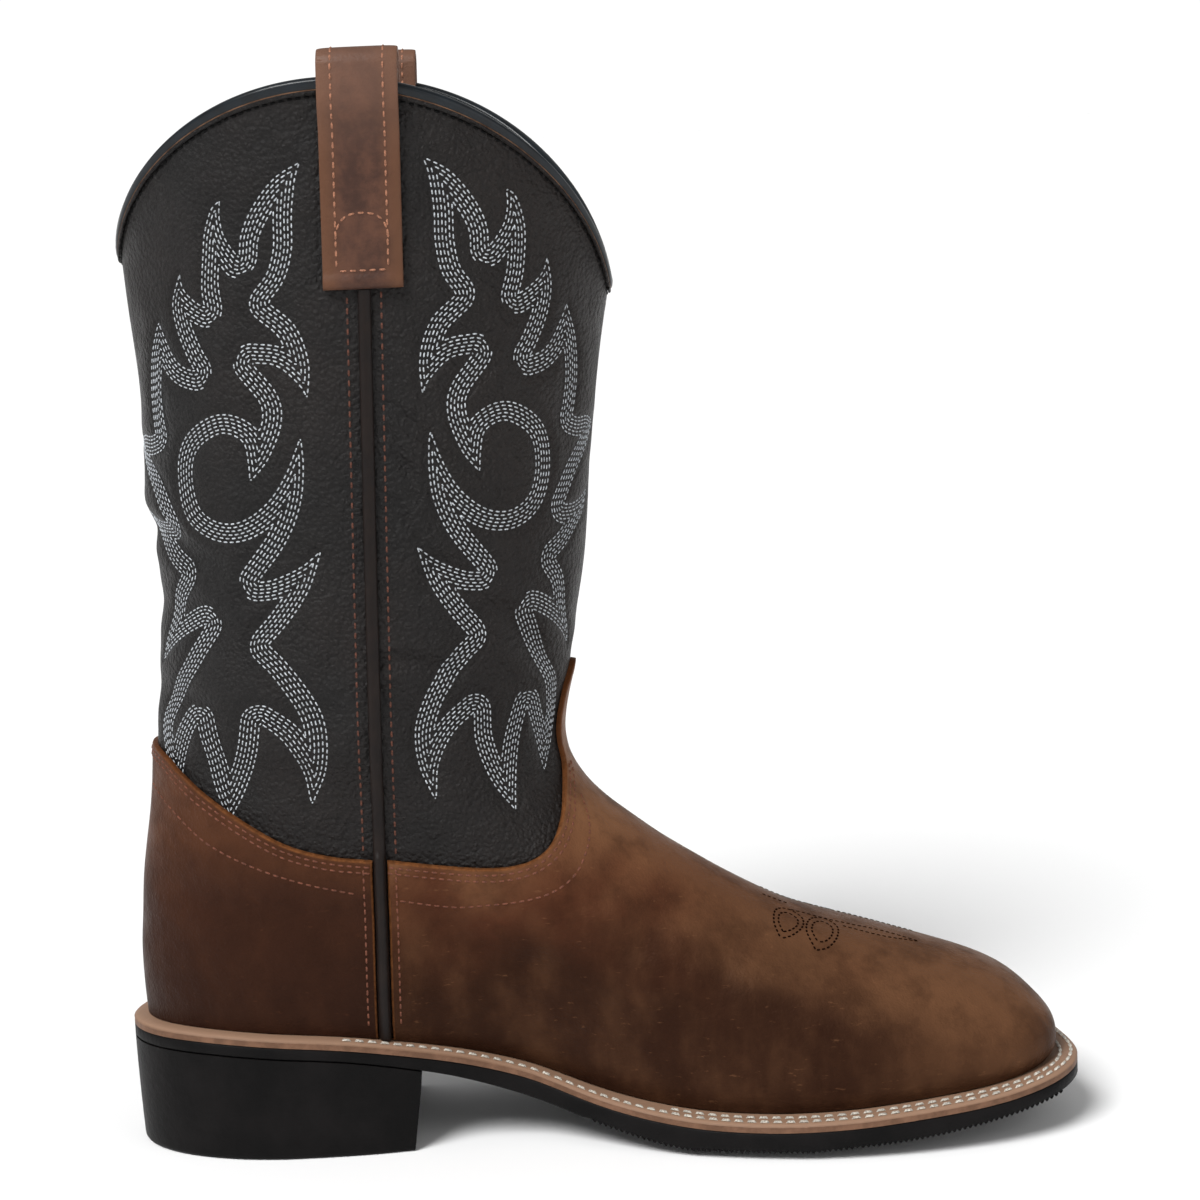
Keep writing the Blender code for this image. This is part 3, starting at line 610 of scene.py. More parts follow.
def sew(name, runs, kind, material):
    """Stitches along runs of points and normals: every pitch one spindle of thread, whose ends dip
    into the leather and whose middle stands proud."""
    pitch, length, width, height = (size * MM for size in STITCHES[kind])
    starts = []
    ends = []
    ups = []
    for points, normals in runs:
        steps = np.linalg.norm(np.diff(points, axis=0), axis=1)
        along = np.concatenate([[0.0], np.cumsum(steps)])
        count = int((along[-1] + pitch - length) / pitch)
        if count < 1:
            continue
        first = np.arange(count) * pitch + (along[-1] - (count - 1) * pitch - length) / 2
        starts.append(read_run(along, points, first))
        ends.append(read_run(along, points, first + length))
        ups.append(read_run(along, normals, first + length / 2))
    start = np.vstack(starts)
    end = np.vstack(ends)
    up = np.vstack(ups)
    along = end - start
    across = np.cross(up, along)
    across /= np.linalg.norm(across, axis=1, keepdims=True)
    shape = [(0.0, 0.0, -0.25), (1.0, 0.0, -0.25)]
    for share in (0.2, 0.8):
        shape += [(share, 0.5, 0.3), (share, 0.0, 1.0), (share, -0.5, 0.3), (share, 0.0, -0.4)]
    share, side, lift = np.array(shape).T
    points = (start[:, None] + share[:, None] * along[:, None]
              + side[:, None] * width * across[:, None]
              + lift[:, None] * height * up[:, None])
    base = (np.arange(len(start)) * len(shape))[:, None, None]
    around = np.arange(4)
    after = (around + 1) % 4
    caps = np.concatenate([np.column_stack([0 * around, 2 + after, 2 + around]),
                           np.column_stack([0 * around + 1, 6 + around, 6 + after])])
    belt = np.column_stack([2 + around, 2 + after, 6 + after, 6 + around])
    faces = [(base + caps).reshape(-1, 3), (base + belt).reshape(-1, 4)]
    add_piece(name, points.reshape(-1, 3), faces, [material], sharp=80, tidy=False)


# Materials


def linear(code):
    """sRGB hex to linear: a twelfth or so below 0.04, the 2.4th power above."""
    parts = [int(code[i:i + 2], 16) / 255 for i in (1, 3, 5)]
    return tuple(c / 12.92 if c <= 0.04045 else ((c + 0.055) / 1.055) ** 2.4 for c in parts) + (1.0,)


def wire(tree, node, **inputs):
    """Inputs of a node set to values or linked to sockets, by name, or by number as in i6."""
    for key, value in inputs.items():
        socket = node.inputs[int(key[1:]) if key[1:].isdigit() else key.replace("_", " ")]
        if isinstance(value, bpy.types.NodeSocket):
            tree.links.new(value, socket)
        else:
            socket.default_value = value


def add_node(tree, kind, settings=None, **inputs):
    """Node with its settings and inputs."""
    node = tree.nodes.new("ShaderNode" + kind)
    for key, value in (settings or {}).items():
        setattr(node, key, value)
    wire(tree, node, **inputs)
    return node


def new_material(name):
    """Empty material with its output and Principled shader, and its Object coordinates."""
    material = bpy.data.materials.new(name)
    material.use_nodes = True
    tree = material.node_tree
    shader = tree.nodes["Principled BSDF"]
    place = add_node(tree, "TexCoord").outputs["Object"]
    return material, tree, shader, place


def noise(tree, place, size, detail=3.0, roughness=0.55, distortion=0.0):
    """Cloudy pattern whose lumps are about a size across, in metres."""
    return add_node(tree, "TexNoise", None, Vector=place, Scale=1 / size, Detail=detail,
                    Roughness=roughness, Distortion=distortion).outputs["Fac"]


def spread(tree, value, low, high, to_low=0.0, to_high=1.0):
    """Value taken from one range to another, held at its ends."""
    return add_node(tree, "MapRange", {"interpolation_type": "SMOOTHSTEP"}, Value=value, i1=low,
                    i2=high, i3=to_low, i4=to_high).outputs["Result"]


def blend(tree, share, first, second):
    """Two colours mixed by a share."""
    first = linear(first) if isinstance(first, str) else first
    second = linear(second) if isinstance(second, str) else second
    return add_node(tree, "Mix", {"data_type": "RGBA", "clamp_factor": True}, i0=share, i6=first,
                    i7=second).outputs[2]


def axes(tree, vector):
    """The x, y and z of a vector."""
    return add_node(tree, "SeparateXYZ", None, Vector=vector).outputs


def facing_up(tree):
    """How far a face looks up, from -1 to 1."""
    return axes(tree, add_node(tree, "NewGeometry").outputs["Normal"])[2]


def read_attribute(tree, label):
    return add_node(tree, "Attribute", {"attribute_name": label}).outputs["Fac"]


def compute(tree, kind, first, second=0.0):
    return add_node(tree, "Math", {"operation": kind}, i0=first, i1=second).outputs[0]


def grain(tree, place, cell):
    """Leather pores: raised pebbles a cell apart with finer wrinkles between them."""
    warp = add_node(tree, "TexNoise", None, Vector=place, Scale=0.35 / cell, Detail=2.0)
    mixed = add_node(tree, "Mix", {"data_type": "RGBA"}, i0=0.0012, i6=place,
                     i7=warp.outputs["Color"])
    cells = add_node(tree, "TexVoronoi", {"feature": "SMOOTH_F1"}, Vector=mixed.outputs[2],
                     Scale=1 / cell, Smoothness=0.6)
    fine = noise(tree, place, cell * 0.45, 4.0, 0.6)
    round_top = compute(tree, "SUBTRACT", 1.0, cells.outputs["Distance"])
    return compute(tree, "ADD", compute(tree, "MULTIPLY", round_top, 0.7),
                   compute(tree, "MULTIPLY", fine, 0.45))


def bump(tree, height, depth, before=None):
    inputs = {"Height": height, "Distance": depth, "Strength": 1.0}
    if before is not None:
        inputs["Normal"] = before
    return add_node(tree, "Bump", None, **inputs).outputs[0]


def shaft_leather():
    """Milled cow leather, drum dyed near black: soft pebbled grain, worn to a dull sheen."""
    material, tree, shader, place = new_material("milled_cow_leather_charcoal")
    cloud = spread(tree, noise(tree, place, 0.045, 4.0, 0.6), 0.35, 0.7)
    color = blend(tree, cloud, "#110f0e", "#1d1816")
    front = spread(tree, axes(tree, place)[0], -0.06, 0.0)
    color = blend(tree, compute(tree, "MULTIPLY", front, 0.45), color, "#251c17")
    # Painted shade: the sunken sewn band of the flame, from its outline to past its last row, is
    # painted darker, as shade in its channels.
    distance = read_attribute(tree, "flame")
    inside = compute(tree, "MULTIPLY", spread(tree, distance, -0.4, 0.2),
                     compute(tree, "SUBTRACT", 1.0, spread(tree, distance, 6.0, 7.2)))
    color = blend(tree, compute(tree, "MULTIPLY", inside, 0.35), color, "#111011")
    pores = grain(tree, place, 0.0014)
    color = blend(tree, spread(tree, pores, 0.35, 0.75, 0.45, 0.0), color, "#100e0e")
    turns_per_mm = 2 * math.pi * MM / FLAME_SPACING
    wave = compute(tree, "COSINE", compute(tree, "MULTIPLY", distance, turns_per_mm))
    channel = compute(tree, "MULTIPLY", compute(tree, "MULTIPLY", wave, -0.5), inside)
    soft = noise(tree, place, 0.009, 3.0, 0.5)
    normal = bump(tree, soft, 0.0016)
    normal = bump(tree, pores, 0.0010, normal)
    normal = bump(tree, channel, 0.00040, normal)
    rough = spread(tree, noise(tree, place, 0.02, 3.0), 0.3, 0.7, 0.40, 0.52)
    wire(tree, shader, Base_Color=color, Roughness=rough, Normal=normal, Specular_IOR_Level=0.22)
    return material


def lining_leather():
    """Undyed pigskin lining: matt, small pores."""
    material, tree, shader, place = new_material("pigskin_lining")
    color = blend(tree, spread(tree, noise(tree, place, 0.02, 4.0), 0.3, 0.7), "#6b5240", "#7d6350")
    normal = bump(tree, grain(tree, place, 0.0016), 0.0001)
    wire(tree, shader, Base_Color=color, Roughness=0.75, Normal=normal)
    return material


def oiled_leather(name, light, middle, dark):
    """Oiled and waxed full grain leather, mottled, with fine scratches: darker low and lighter high
    up, partly its own burnish and partly painted top light, with a painted highlight over the toe
    and painted top light where a face looks up. Its cut edge shows the tan nap of the hide."""
    material, tree, shader, place = new_material(name)
    forward, _, height = axes(tree, place)
    big = noise(tree, place, 0.045, 3.0, 0.5, 0.3)
    small = noise(tree, place, 0.012, 4.0, 0.6)
    # Darker low and lighter high up: partly the leather's own burnish, partly painted top light.
    lumps = compute(tree, "MULTIPLY", compute(tree, "SUBTRACT", big, 0.5), 0.08)
    rise = compute(tree, "ADD", height, lumps)
    color = blend(tree, spread(tree, rise, 0.045, 0.095), dark, middle)
    color = blend(tree, spread(tree, rise, 0.08, 0.12), color, light)
    tall = add_node(tree, "Mapping", None, Vector=place, Scale=(1.0, 1.0, 0.5)).outputs[0]
    pull = spread(tree, noise(tree, tall, 0.014, 5.0, 0.6), 0.35, 0.8, 0.0, 0.22)
    color = blend(tree, pull, color, light)
    # Painted highlight: lighter over the toe.
    color = blend(tree, spread(tree, forward, 0.07, 0.12, 0.0, 0.3), color, light)
    # Painted top light: lighter where a face looks up.
    color = blend(tree, spread(tree, facing_up(tree), 0.35, 0.9, 0.0, 0.5), color, light)
    color = blend(tree, spread(tree, small, 0.42, 0.72, 0.0, 0.45), color, dark)
    long_marks = add_node(tree, "Mapping", None, Vector=place, Scale=(0.25, 1.0, 1.0)).outputs[0]
    scratch = spread(tree, noise(tree, long_marks, 0.0016, 3.0, 0.7), 0.63, 0.75, 0.0, 0.35)
    color = blend(tree, scratch, color, light)
    cut = compute(tree, "SUBTRACT", 1.0, spread(tree, read_attribute(tree, "edge"), 0.35, 0.95))
    nap = blend(tree, spread(tree, noise(tree, place, 0.002, 4.0, 0.7), 0.35, 0.65),
                "#50301a", "#6d4325")
    nap = blend(tree, spread(tree, height, 0.10, 0.13, 0.0, 0.7), nap, "#4e2c17")
    color = blend(tree, cut, color, nap)
    pores = grain(tree, place, 0.0009)
    normal = bump(tree, noise(tree, place, 0.006, 4.0, 0.6), 0.0006)
    normal = bump(tree, pores, 0.00016, normal)
    rough = spread(tree, small, 0.3, 0.7, 0.42, 0.56)
    wire(tree, shader, Base_Color=color, Roughness=rough, Normal=normal, Specular_IOR_Level=0.14,
         Specular_Tint=linear("#e0b498"))
    return material


def strap_leather():
    """The same oiled leather, hand burnished: dark middle, lighter brown edges, and a painted
    highlight near the top, where it bends over the collar.
    """
    material, tree, shader, place = new_material("burnished_strap_leather")
    small = noise(tree, place, 0.008, 5.0, 0.65)
    color = blend(tree, spread(tree, small, 0.35, 0.7), "#3c2821", "#573a2d")
    rim = spread(tree, read_attribute(tree, "across"), 0.20, 0.46)
    color = blend(tree, compute(tree, "MULTIPLY", rim, 0.85), color, "#5e3e2b")
    # Painted highlight: lighter near the top, where the strap bends over the collar.
    height = axes(tree, place)[2]
    color = blend(tree, spread(tree, height, 0.31, 0.345, 0.0, 0.45), color, "#7a5b4c")
    normal = bump(tree, noise(tree, place, 0.004, 4.0, 0.6), 0.00035)
    normal = bump(tree, grain(tree, place, 0.0009), 0.00009, normal)
    wire(tree, shader, Base_Color=color, Roughness=spread(tree, small, 0.3, 0.7, 0.42, 0.56),
         Normal=normal, Specular_IOR_Level=0.18)
    return material


def plain_leather(name, first, second, roughness, cell, depth, coat=0.0):
    """Cut strip of leather, dyed through, with a small grain and an optional glossy finish."""
    material, tree, shader, place = new_material(name)
    color = blend(tree, spread(tree, noise(tree, place, 0.006, 4.0), 0.3, 0.7), first, second)
    wire(tree, shader, Base_Color=color, Roughness=roughness, Coat_Weight=coat, Coat_Roughness=0.15,
         Specular_IOR_Level=0.2, Normal=bump(tree, grain(tree, place, cell), depth))
    return material


def welt_leather():
    """Vegetable tanned welt, mottled, with painted top light: lighter where it faces up."""
    material, tree, shader, place = new_material("vegetable_tanned_welt")
    small = noise(tree, place, 0.004, 5.0, 0.65)
    color = blend(tree, spread(tree, small, 0.35, 0.7), "#5f4331", "#745440")
    # Painted top light: lighter where the welt faces up.
    color = blend(tree, spread(tree, facing_up(tree), 0.55, 0.85), color, "#8f715c")
    wire(tree, shader, Base_Color=color, Roughness=0.55, Specular_IOR_Level=0.25,
         Normal=bump(tree, small, 0.0003))
    return material


def rubber(name, roughness):
    """Black nitrile rubber, pressed in a mould: matt skin with faint bloom."""
    material, tree, shader, place = new_material(name)
    cloud = spread(tree, noise(tree, place, 0.02, 4.0), 0.35, 0.7)
    color = blend(tree, cloud, "#0c0b0b", "#141212")
    normal = bump(tree, noise(tree, place, 0.003, 5.0, 0.65), 0.00025)
    wire(tree, shader, Base_Color=color, Roughness=roughness, Normal=normal,
         Specular_IOR_Level=0.08)
    return material


def thread(name, code, gloss=0.3):
    """Twisted bonded thread, low gloss, with painted shade between its strands."""
    material, tree, shader, place = new_material(name)
    strands = noise(tree, place, 0.0005, 2.0)
    # Painted shade between the strands: patches at 0.45 of the thread's colour.
    dark = tuple(0.45 * part for part in linear(code)[:3]) + (1.0,)
    color = blend(tree, spread(tree, strands, 0.35, 0.65), dark, code)
    wire(tree, shader, Base_Color=color, Roughness=0.6, Specular_IOR_Level=gloss)
    return material


SHAFT_LEATHER = shaft_leather()
LINING = lining_leather()
VAMP_LEATHER = oiled_leather("oiled_cow_leather_vamp", "#745037", "#48281a", "#27150d")
COUNTER_LEATHER = oiled_leather("oiled_cow_leather_counter", "#4c2e1e", "#301b13", "#25140e")
STRAP_LEATHER = strap_leather()
BINDING_LEATHER = plain_leather("glazed_binding_leather", "#080d11", "#0f171d", 0.36, 0.0008,
                                0.00004, 0.25)
PIPING_LEATHER = plain_leather("dyed_piping_leather", "#110a08", "#19100c", 0.5, 0.0007, 0.00006)
RAW_EDGE = plain_leather("raw_cut_leather_edge", "#4a3426", "#7a5b45", 0.8, 0.0005, 0.0001)
INSOLE_LEATHER = plain_leather("insole_board_leather", "#8a6a4c", "#a07f5e", 0.7, 0.001, 0.00008)
WELT_LEATHER = welt_leather()
SOLE_RUBBER = rubber("moulded_nitrile_rubber_sole", 0.5)
HEEL_RUBBER = rubber("moulded_nitrile_rubber_heel", 0.46)
FLAME_THREAD = thread("polyester_thread_silver", "#c3c8cd")
SEAM_THREAD = thread("polyester_thread_rust", "#764430")
SHAFT_THREAD = thread("polyester_thread_brown", "#63392a")
STRAP_THREAD = thread("polyester_thread_tan", "#ab755a")
BLACK_THREAD = thread("polyester_thread_black", "#0a0a0a", 0.1)
TOE_THREAD = thread("polyester_thread_dark_brown", "#150a06", 0.0)
WELT_THREAD = thread("waxed_linen_thread", "#cfc8bc")


# Shaft and foot lining

# Row above which the shaft shows outside the overlays and its mesh is fine
FINE_FROM_ROW = 5.4


def make_upper():
    """Leather wall from feather line to collar, with a fine outer face and a plainer inner one."""
    count = 330
    turns = np.linspace(0, 2 * math.pi, count, endpoint=False)
    fine = np.linspace(FINE_FROM_ROW, TOP_ROW, 238)
    rows = np.concatenate([np.linspace(0, FINE_FROM_ROW, 12)[:-1], fine])
    row, turn = np.meshgrid(rows, turns, indexing="ij")
    distance = flame_distance(row, turn)
    outside = skin(row, turn, shaft_relief(row, turn))
    plain = np.linspace(0, TOP_ROW, 27)
    row_in, turn_in = np.meshgrid(plain, turns, indexing="ij")
    inside = skin(row_in, turn_in, np.full(row_in.shape, -WALL))
    points = np.concatenate([outside.reshape(-1, 3), inside.reshape(-1, 3)])
    out_faces = ring_quads(len(rows), count)
    in_faces = ring_quads(len(plain), count) + len(rows) * count
    i = np.arange(count)
    j = (i + 1) % count
    base = len(rows) * count
    last = (len(plain) - 1) * count
    low = np.column_stack([i, j, base + j, base + i])
    top = (len(rows) - 1) * count
    high = np.column_stack([top + i, base + last + i, base + last + j, top + j])
    faces = [out_faces, in_faces, low, high]
    kinds = np.repeat([0, 1, 1, 0], [len(group) for group in faces])
    flame = np.concatenate([distance.ravel() / MM, np.full(inside.shape[0] * count, -50.0)])
    add_piece("upper_leather", points, faces, [SHAFT_LEATHER, LINING], ["upper"],
              kinds, {"flame": flame})


def thick_patch(name, row, turn, faces, material, replaces):
    """Overlay: a patch of the surface at overlay height, its underside a gap from the shaft, and a
    wall all round. Towards its cut edge the top falls away on a quarter circle."""
    ends = np.concatenate([np.roll(group, -1, axis=1).ravel() for group in faces])
    starts = np.concatenate([group.ravel() for group in faces])
    size = len(row)
    own = starts * size + ends
    other = ends * size + starts
    free = ~np.isin(own, other)
    a = starts[free]
    b = ends[free]
    base = form(row, turn)
    rim = base[np.unique(a)]
    rim = rim[row[np.unique(a)] > 0.02]
    edge = nearest(base, rim)
    roll = np.clip(1 - edge / (1.0 * MM), 0, 1)
    high = overlay_relief(row, turn) - 0.4 * OVERLAY * (1 - np.sqrt(1 - roll ** 2))
    outside = skin(row, turn, high)
    inside = skin(row, turn, np.full(row.shape, GAP) + np.minimum(folds(base), 0.0))
    walls = np.column_stack([b, a, a + size, b + size])
    groups = list(faces) + [group[:, ::-1] + size for group in faces] + [walls]
    values = np.concatenate([edge / MM, 0 * edge])
    add_piece(name, np.concatenate([outside, inside]), groups, [material], replaces,
              values={"edge": values})


def steps_to_edge(count, closest):
    """Shares from 0 to 1, evenly spaced and then ever closer to 1."""
    return np.concatenate([np.linspace(0, 1 - 8 * closest, count), 1 - closest * np.array(
        [6.0, 4.2, 2.8, 1.8, 1.0, 0.4, 0.0])])


HALF_SLOT = PIPING_WIDTH / 2 + GAP
VAMP_START = float(seam_x(SEAM_HEIGHT)) + HALF_SLOT
VAMP_FRONT = float(SECTIONS[len(FOOT), 1]) + OVERLAY
TONGUE_TURN = 0.21


def edge_curve(table, start, end, low, high):
    """Side view points of an overlay's edge from its shares."""
    dense = along_rows(np.array(table), np.linspace(0, len(table) - 1, 600))
    return start + dense[:, 0] * (end - start), low + dense[:, 1] * (high - low)


VAMP_X, VAMP_Z = edge_curve(VAMP_EDGE, VAMP_START, VAMP_FRONT, SEAM_HEIGHT, TONGUE_HEIGHT)
COUNTER_BACK = float(SECTIONS[len(FOOT), 0])
COUNTER_END = float(seam_x(SEAM_HEIGHT)) - HALF_SLOT
COUNTER_X, COUNTER_Z = edge_curve(COUNTER_EDGE, COUNTER_BACK, COUNTER_END, COUNTER_HEIGHT,
                                  SEAM_HEIGHT)


def top_row(turn_of, low, edge_x, edge_z):
    """Row at which columns of turns first reach the overlay's edge."""
    def under(row):
        point = form(row, turn_of(row))
        return point[..., 2] < np.interp(point[..., 0], edge_x, edge_z)
    return halve(under, low, low + 10.0)


def make_counter():
    """Heel overlay: columns from seam to seam round the back, each up to the edge, which is given
    back for its sewing."""
    half = steps_to_edge(88, 0.0022)
    column = np.concatenate([-half[::-1], half[1:]])
    side = np.where(column > 0, 1.0, -1.0)

    def turn_of(row):
        seam_m = seam_turn(row, -1, -HALF_SLOT)
        seam_l = seam_turn(row, 1, -HALF_SLOT)
        return math.pi + np.abs(column) * np.where(side < 0, seam_m - math.pi, seam_l - math.pi)

    top = top_row(turn_of, 0 * column, COUNTER_X, COUNTER_Z)
    share = steps_to_edge(74, 0.003)
    rows = share[:, None] * top[None, :]
    turns = turn_of(rows)
    faces = ring_quads(len(share), len(column), close_count=False)
    thick_patch("counter_leather", rows.ravel(), turns.ravel(), [faces], COUNTER_LEATHER,
                ["counter"])
    return top[::-1], turns[-1, ::-1]


def vamp_shape():
    """Rows and turns of the vamp: columns from seam to seam over the toe up to the edge, and in the
    middle of them the tongue, whose columns draw together to its tip. The tongue is as wide as its
    edge in the side view says, or as its narrow tab, by the fourth root of their fourth powers."""
    corner = 5
    x_corner = VAMP_START + VAMP_EDGE[corner][0] * (VAMP_FRONT - VAMP_START)
    z_corner = SEAM_HEIGHT + VAMP_EDGE[corner][1] * (TONGUE_HEIGHT - SEAM_HEIGHT)
    low_m = float(row_at(x_corner, z_corner, -1))
    low_l = float(row_at(x_corner, z_corner, 1))
    wide_m = float(turn_at(low_m, x_corner, -1))
    wide_l = 2 * math.pi - float(turn_at(low_l, x_corner, 1))
    middle = 0.30
    inner = steps_to_edge(26, 0.010) * middle
    outer = middle + (1 - middle) * steps_to_edge(96, 0.0026)
    half = np.concatenate([inner, outer[1:]])
    column = np.concatenate([-half[::-1], half[1:]])
    core = np.abs(column) <= middle + 1e-9
    far = np.clip((np.abs(column) - middle) / (1 - middle), 0, 1)
    near = np.clip(np.abs(column) / middle, 0, 1)
    medial = column < 0

    def turn_of(row):
        wide = np.where(medial, wide_m, wide_l)
        seam = np.where(medial, seam_turn(row, -1, HALF_SLOT),
                        2 * math.pi - seam_turn(row, 1, HALF_SLOT))
        turn = np.where(core, near * wide, wide + far * (seam - wide))
        return np.where(medial, turn, -turn)

    top = top_row(turn_of, 0 * column, VAMP_X, VAMP_Z)
    level = low_m + (low_l - low_m) * (0.5 + column / (2 * middle))
    top = np.where(core, level, top)
    share = steps_to_edge(92, 0.0030)
    rows = share[:, None] * top[None, :]
    turns = turn_of(rows)
    tip = float(row_on(TONGUE_HEIGHT, 0.0))
    start = corner * (len(VAMP_X) - 1) // (len(VAMP_EDGE) - 1)
    rise = steps_to_edge(60, 0.004)[1:]
    col = column[core]
    row_b = level[core][None, :] + rise[:, None] * (tip - level[core][None, :])
    width = {}
    for key, low in ((-1, low_m), (1, low_l)):
        row_edge = low + rise * (tip - low)

        def ahead(turn):
            point = form(row_edge, -key * turn)
            return point[..., 0] > np.interp(point[..., 2], VAMP_Z[start:], VAMP_X[start:])
        along_edge = halve(ahead, 0 * rise, 0 * rise + 1.2)
        tab = TONGUE_TURN * np.sqrt(np.clip(1 - rise ** 10, 0, 1)) * ease(3 * rise)
        width[key] = (along_edge ** 4 + tab ** 4) ** 0.25
    turn_b = np.where(col < 0, -col / middle * width[-1][:, None], -col / middle * width[1][:, None])
    count = len(column)
    base = rows.size
    faces = ring_quads(len(share), count, close_count=False)
    first = (len(share) - 1) * count + np.nonzero(core)[0]
    index = np.vstack([first, base + np.arange(row_b.size).reshape(row_b.shape)])
    tongue = np.stack([index[:-1, :-1], index[:-1, 1:], index[1:, 1:], index[1:, :-1]],
                      -1).reshape(-1, 4)
    row = np.concatenate([rows.ravel(), row_b.ravel()])
    turn = np.concatenate([turns.ravel(), turn_b.ravel()])
    sides = (column < -middle, column > middle)
    rim_row = [top[sides[0]], row_b[:, 0], row_b[-2::-1, -1], top[sides[1]]]
    rim_turn = [turns[-1, sides[0]], turn_b[:, 0], turn_b[-2::-1, -1], turns[-1, sides[1]]]
    return row, turn, [faces, tongue], (np.concatenate(rim_row), np.concatenate(rim_turn))


def make_vamp():
    """Front overlay, whose edge is given back for its sewing."""
    row, turn, faces, rim = vamp_shape()
    thick_patch("vamp_leather", row, turn, faces, VAMP_LEATHER, ["vamp"])
    return rim


# Trim


def make_binding():
    """Rolled strip: a rounded hook carried round the collar's edge, with a groove for its fold, in
    the binding's leather above the groove and the shaft's below, and the raw edge in the groove."""
    count = 480
    turns = np.linspace(0, 2 * math.pi, count, endpoint=False)
    edge = skin(TOP_ROW, turns, 0.0)
    down = skin(TOP_ROW - 0.3, turns, 0.0) - edge
    down /= np.linalg.norm(down, axis=-1, keepdims=True)
    out = skin(TOP_ROW, turns, 1.0) - edge
    inner = WALL + GAP
    middle = (GAP - inner) / 2
    reach = GAP + BINDING - middle
    angle = np.linspace(0, math.pi, 13)
    over = [(middle + reach * math.cos(a), -(GAP + 1.3 * BINDING) * math.sin(a) ** 0.8)
            for a in angle]
    depth = BINDING_DEPTH
    section = [(GAP, depth), (GAP + 0.55 * BINDING, depth), (GAP + 0.8 * BINDING, 0.86 * depth),
               (GAP + 0.7 * BINDING, 0.68 * depth), (GAP + 0.35 * BINDING, 0.60 * depth),
               (GAP + 0.8 * BINDING, 0.52 * depth), (GAP + BINDING, 0.36 * depth)]
    section += over
    section += [(-inner - BINDING, 0.5 * depth), (-inner - 0.6 * BINDING, depth), (-inner, depth),
                (-inner, -GAP), (GAP, -GAP)]
    rings = np.array([edge + across * out + fall * down for across, fall in section])
    faces = ring_quads(len(section), count, close_rings=True)
    kinds = np.repeat([1, 0], [4 * count, (len(section) - 4) * count])
    add_piece("collar_roll", rings.reshape(-1, 3), [faces], [BINDING_LEATHER, SHAFT_LEATHER],
              ["collar_binding"], kinds, {"flame": np.full(rings.size // 3, -50.0)})
    angle = np.linspace(0, 2 * math.pi, 8, endpoint=False)
    centre = edge + (GAP + 0.5 * BINDING) * out + 0.60 * depth * down
    cord = np.array([centre + 0.22 * MM * (math.cos(a) * out + math.sin(a) * down) for a in angle])
    faces = ring_quads(8, count, close_rings=True)
    add_piece("collar_raw_edge", cord.reshape(-1, 3), [faces], [RAW_EDGE])


def strap_x():
    return SEAM_TOP + STRAP_LEAN


def rim_z(side):
    return float(form(TOP_ROW, turn_at(TOP_ROW, strap_x(), side))[2])


def strap_low(side):
    return rim_z(side) - STRAP_DROP


def make_piping(name, side):
    """Half round cord from under the pull strap down to the welt, over the overlays' edge."""
    top = strap_low(side) - GAP
    step = SEAM_HEIGHT + 2 * OVERLAY
    end = float(row_at(seam_x(top), top, side))
    rows = np.linspace(0, end, 230)
    heights = form(rows, turn_at(rows, SEAM_TOP, side))[:, 2]
    x = seam_x(heights)
    over = GAP + PIPING_HEIGHT + OVERLAY * ease((step - heights) / (step - SEAM_HEIGHT))
    half = PIPING_WIDTH / 2
    rings = []
    for angle in np.linspace(0, math.pi, 13):
        across = -math.cos(angle)
        rise = math.sin(angle) ** 0.75
        turn = turn_at(rows, x + across * half, side)
        rings.append(skin(rows, turn, GAP + rise * (over - GAP)))
    count = len(rows)
    faces = ring_quads(13, count, close_rings=True, close_count=False)
    caps = [np.array([[i * count for i in range(13)]]),
            np.array([[i * count + count - 1 for i in range(13)][::-1]])]
    add_piece(name, np.concatenate(rings), [faces] + caps, [PIPING_LEATHER],
              [name.replace("cord", "piping")])


def strap_path():
    """Middle line of the strap, out from the surface and up from the collar's edge: up the outside,
    over in a half circle, down the inside."""
    outer = GAP + STRAP / 2
    inner = -WALL - GAP - STRAP / 2
    over_out = outer + BINDING + GAP + STRAP_SLACK
    over_in = inner - BINDING - GAP - STRAP_SLACK
    middle = (over_out + over_in) / 2
    reach = (over_out - over_in) / 2
    crown = STRAP_RISE - STRAP / 2
    path = [(outer, -STRAP_DROP + u * (STRAP_DROP - STRAP_BEND)) for u in np.linspace(0, 1, 12)]
    path += [((outer + over_out) / 2, -0.7 * STRAP_BEND), (over_out, -0.4 * STRAP_BEND)]
    path.append((over_out, crown - reach))
    for angle in np.radians((22, 45, 67, 90, 113, 135, 158)):
        path.append((middle + reach * math.cos(angle), crown - reach + reach * math.sin(angle)))
    path += [(over_in, crown - reach), (over_in, -0.4 * STRAP_BEND)]
    path.append(((inner + over_in) / 2, -0.7 * STRAP_BEND))
    path += [(inner, -STRAP_BEND - u * (STRAP_DROP - STRAP_BEND)) for u in np.linspace(0, 1, 12)]
    return along_rows(np.array(path), np.linspace(0, len(path) - 1, 4 * len(path)))


STRAP_PATH = strap_path()


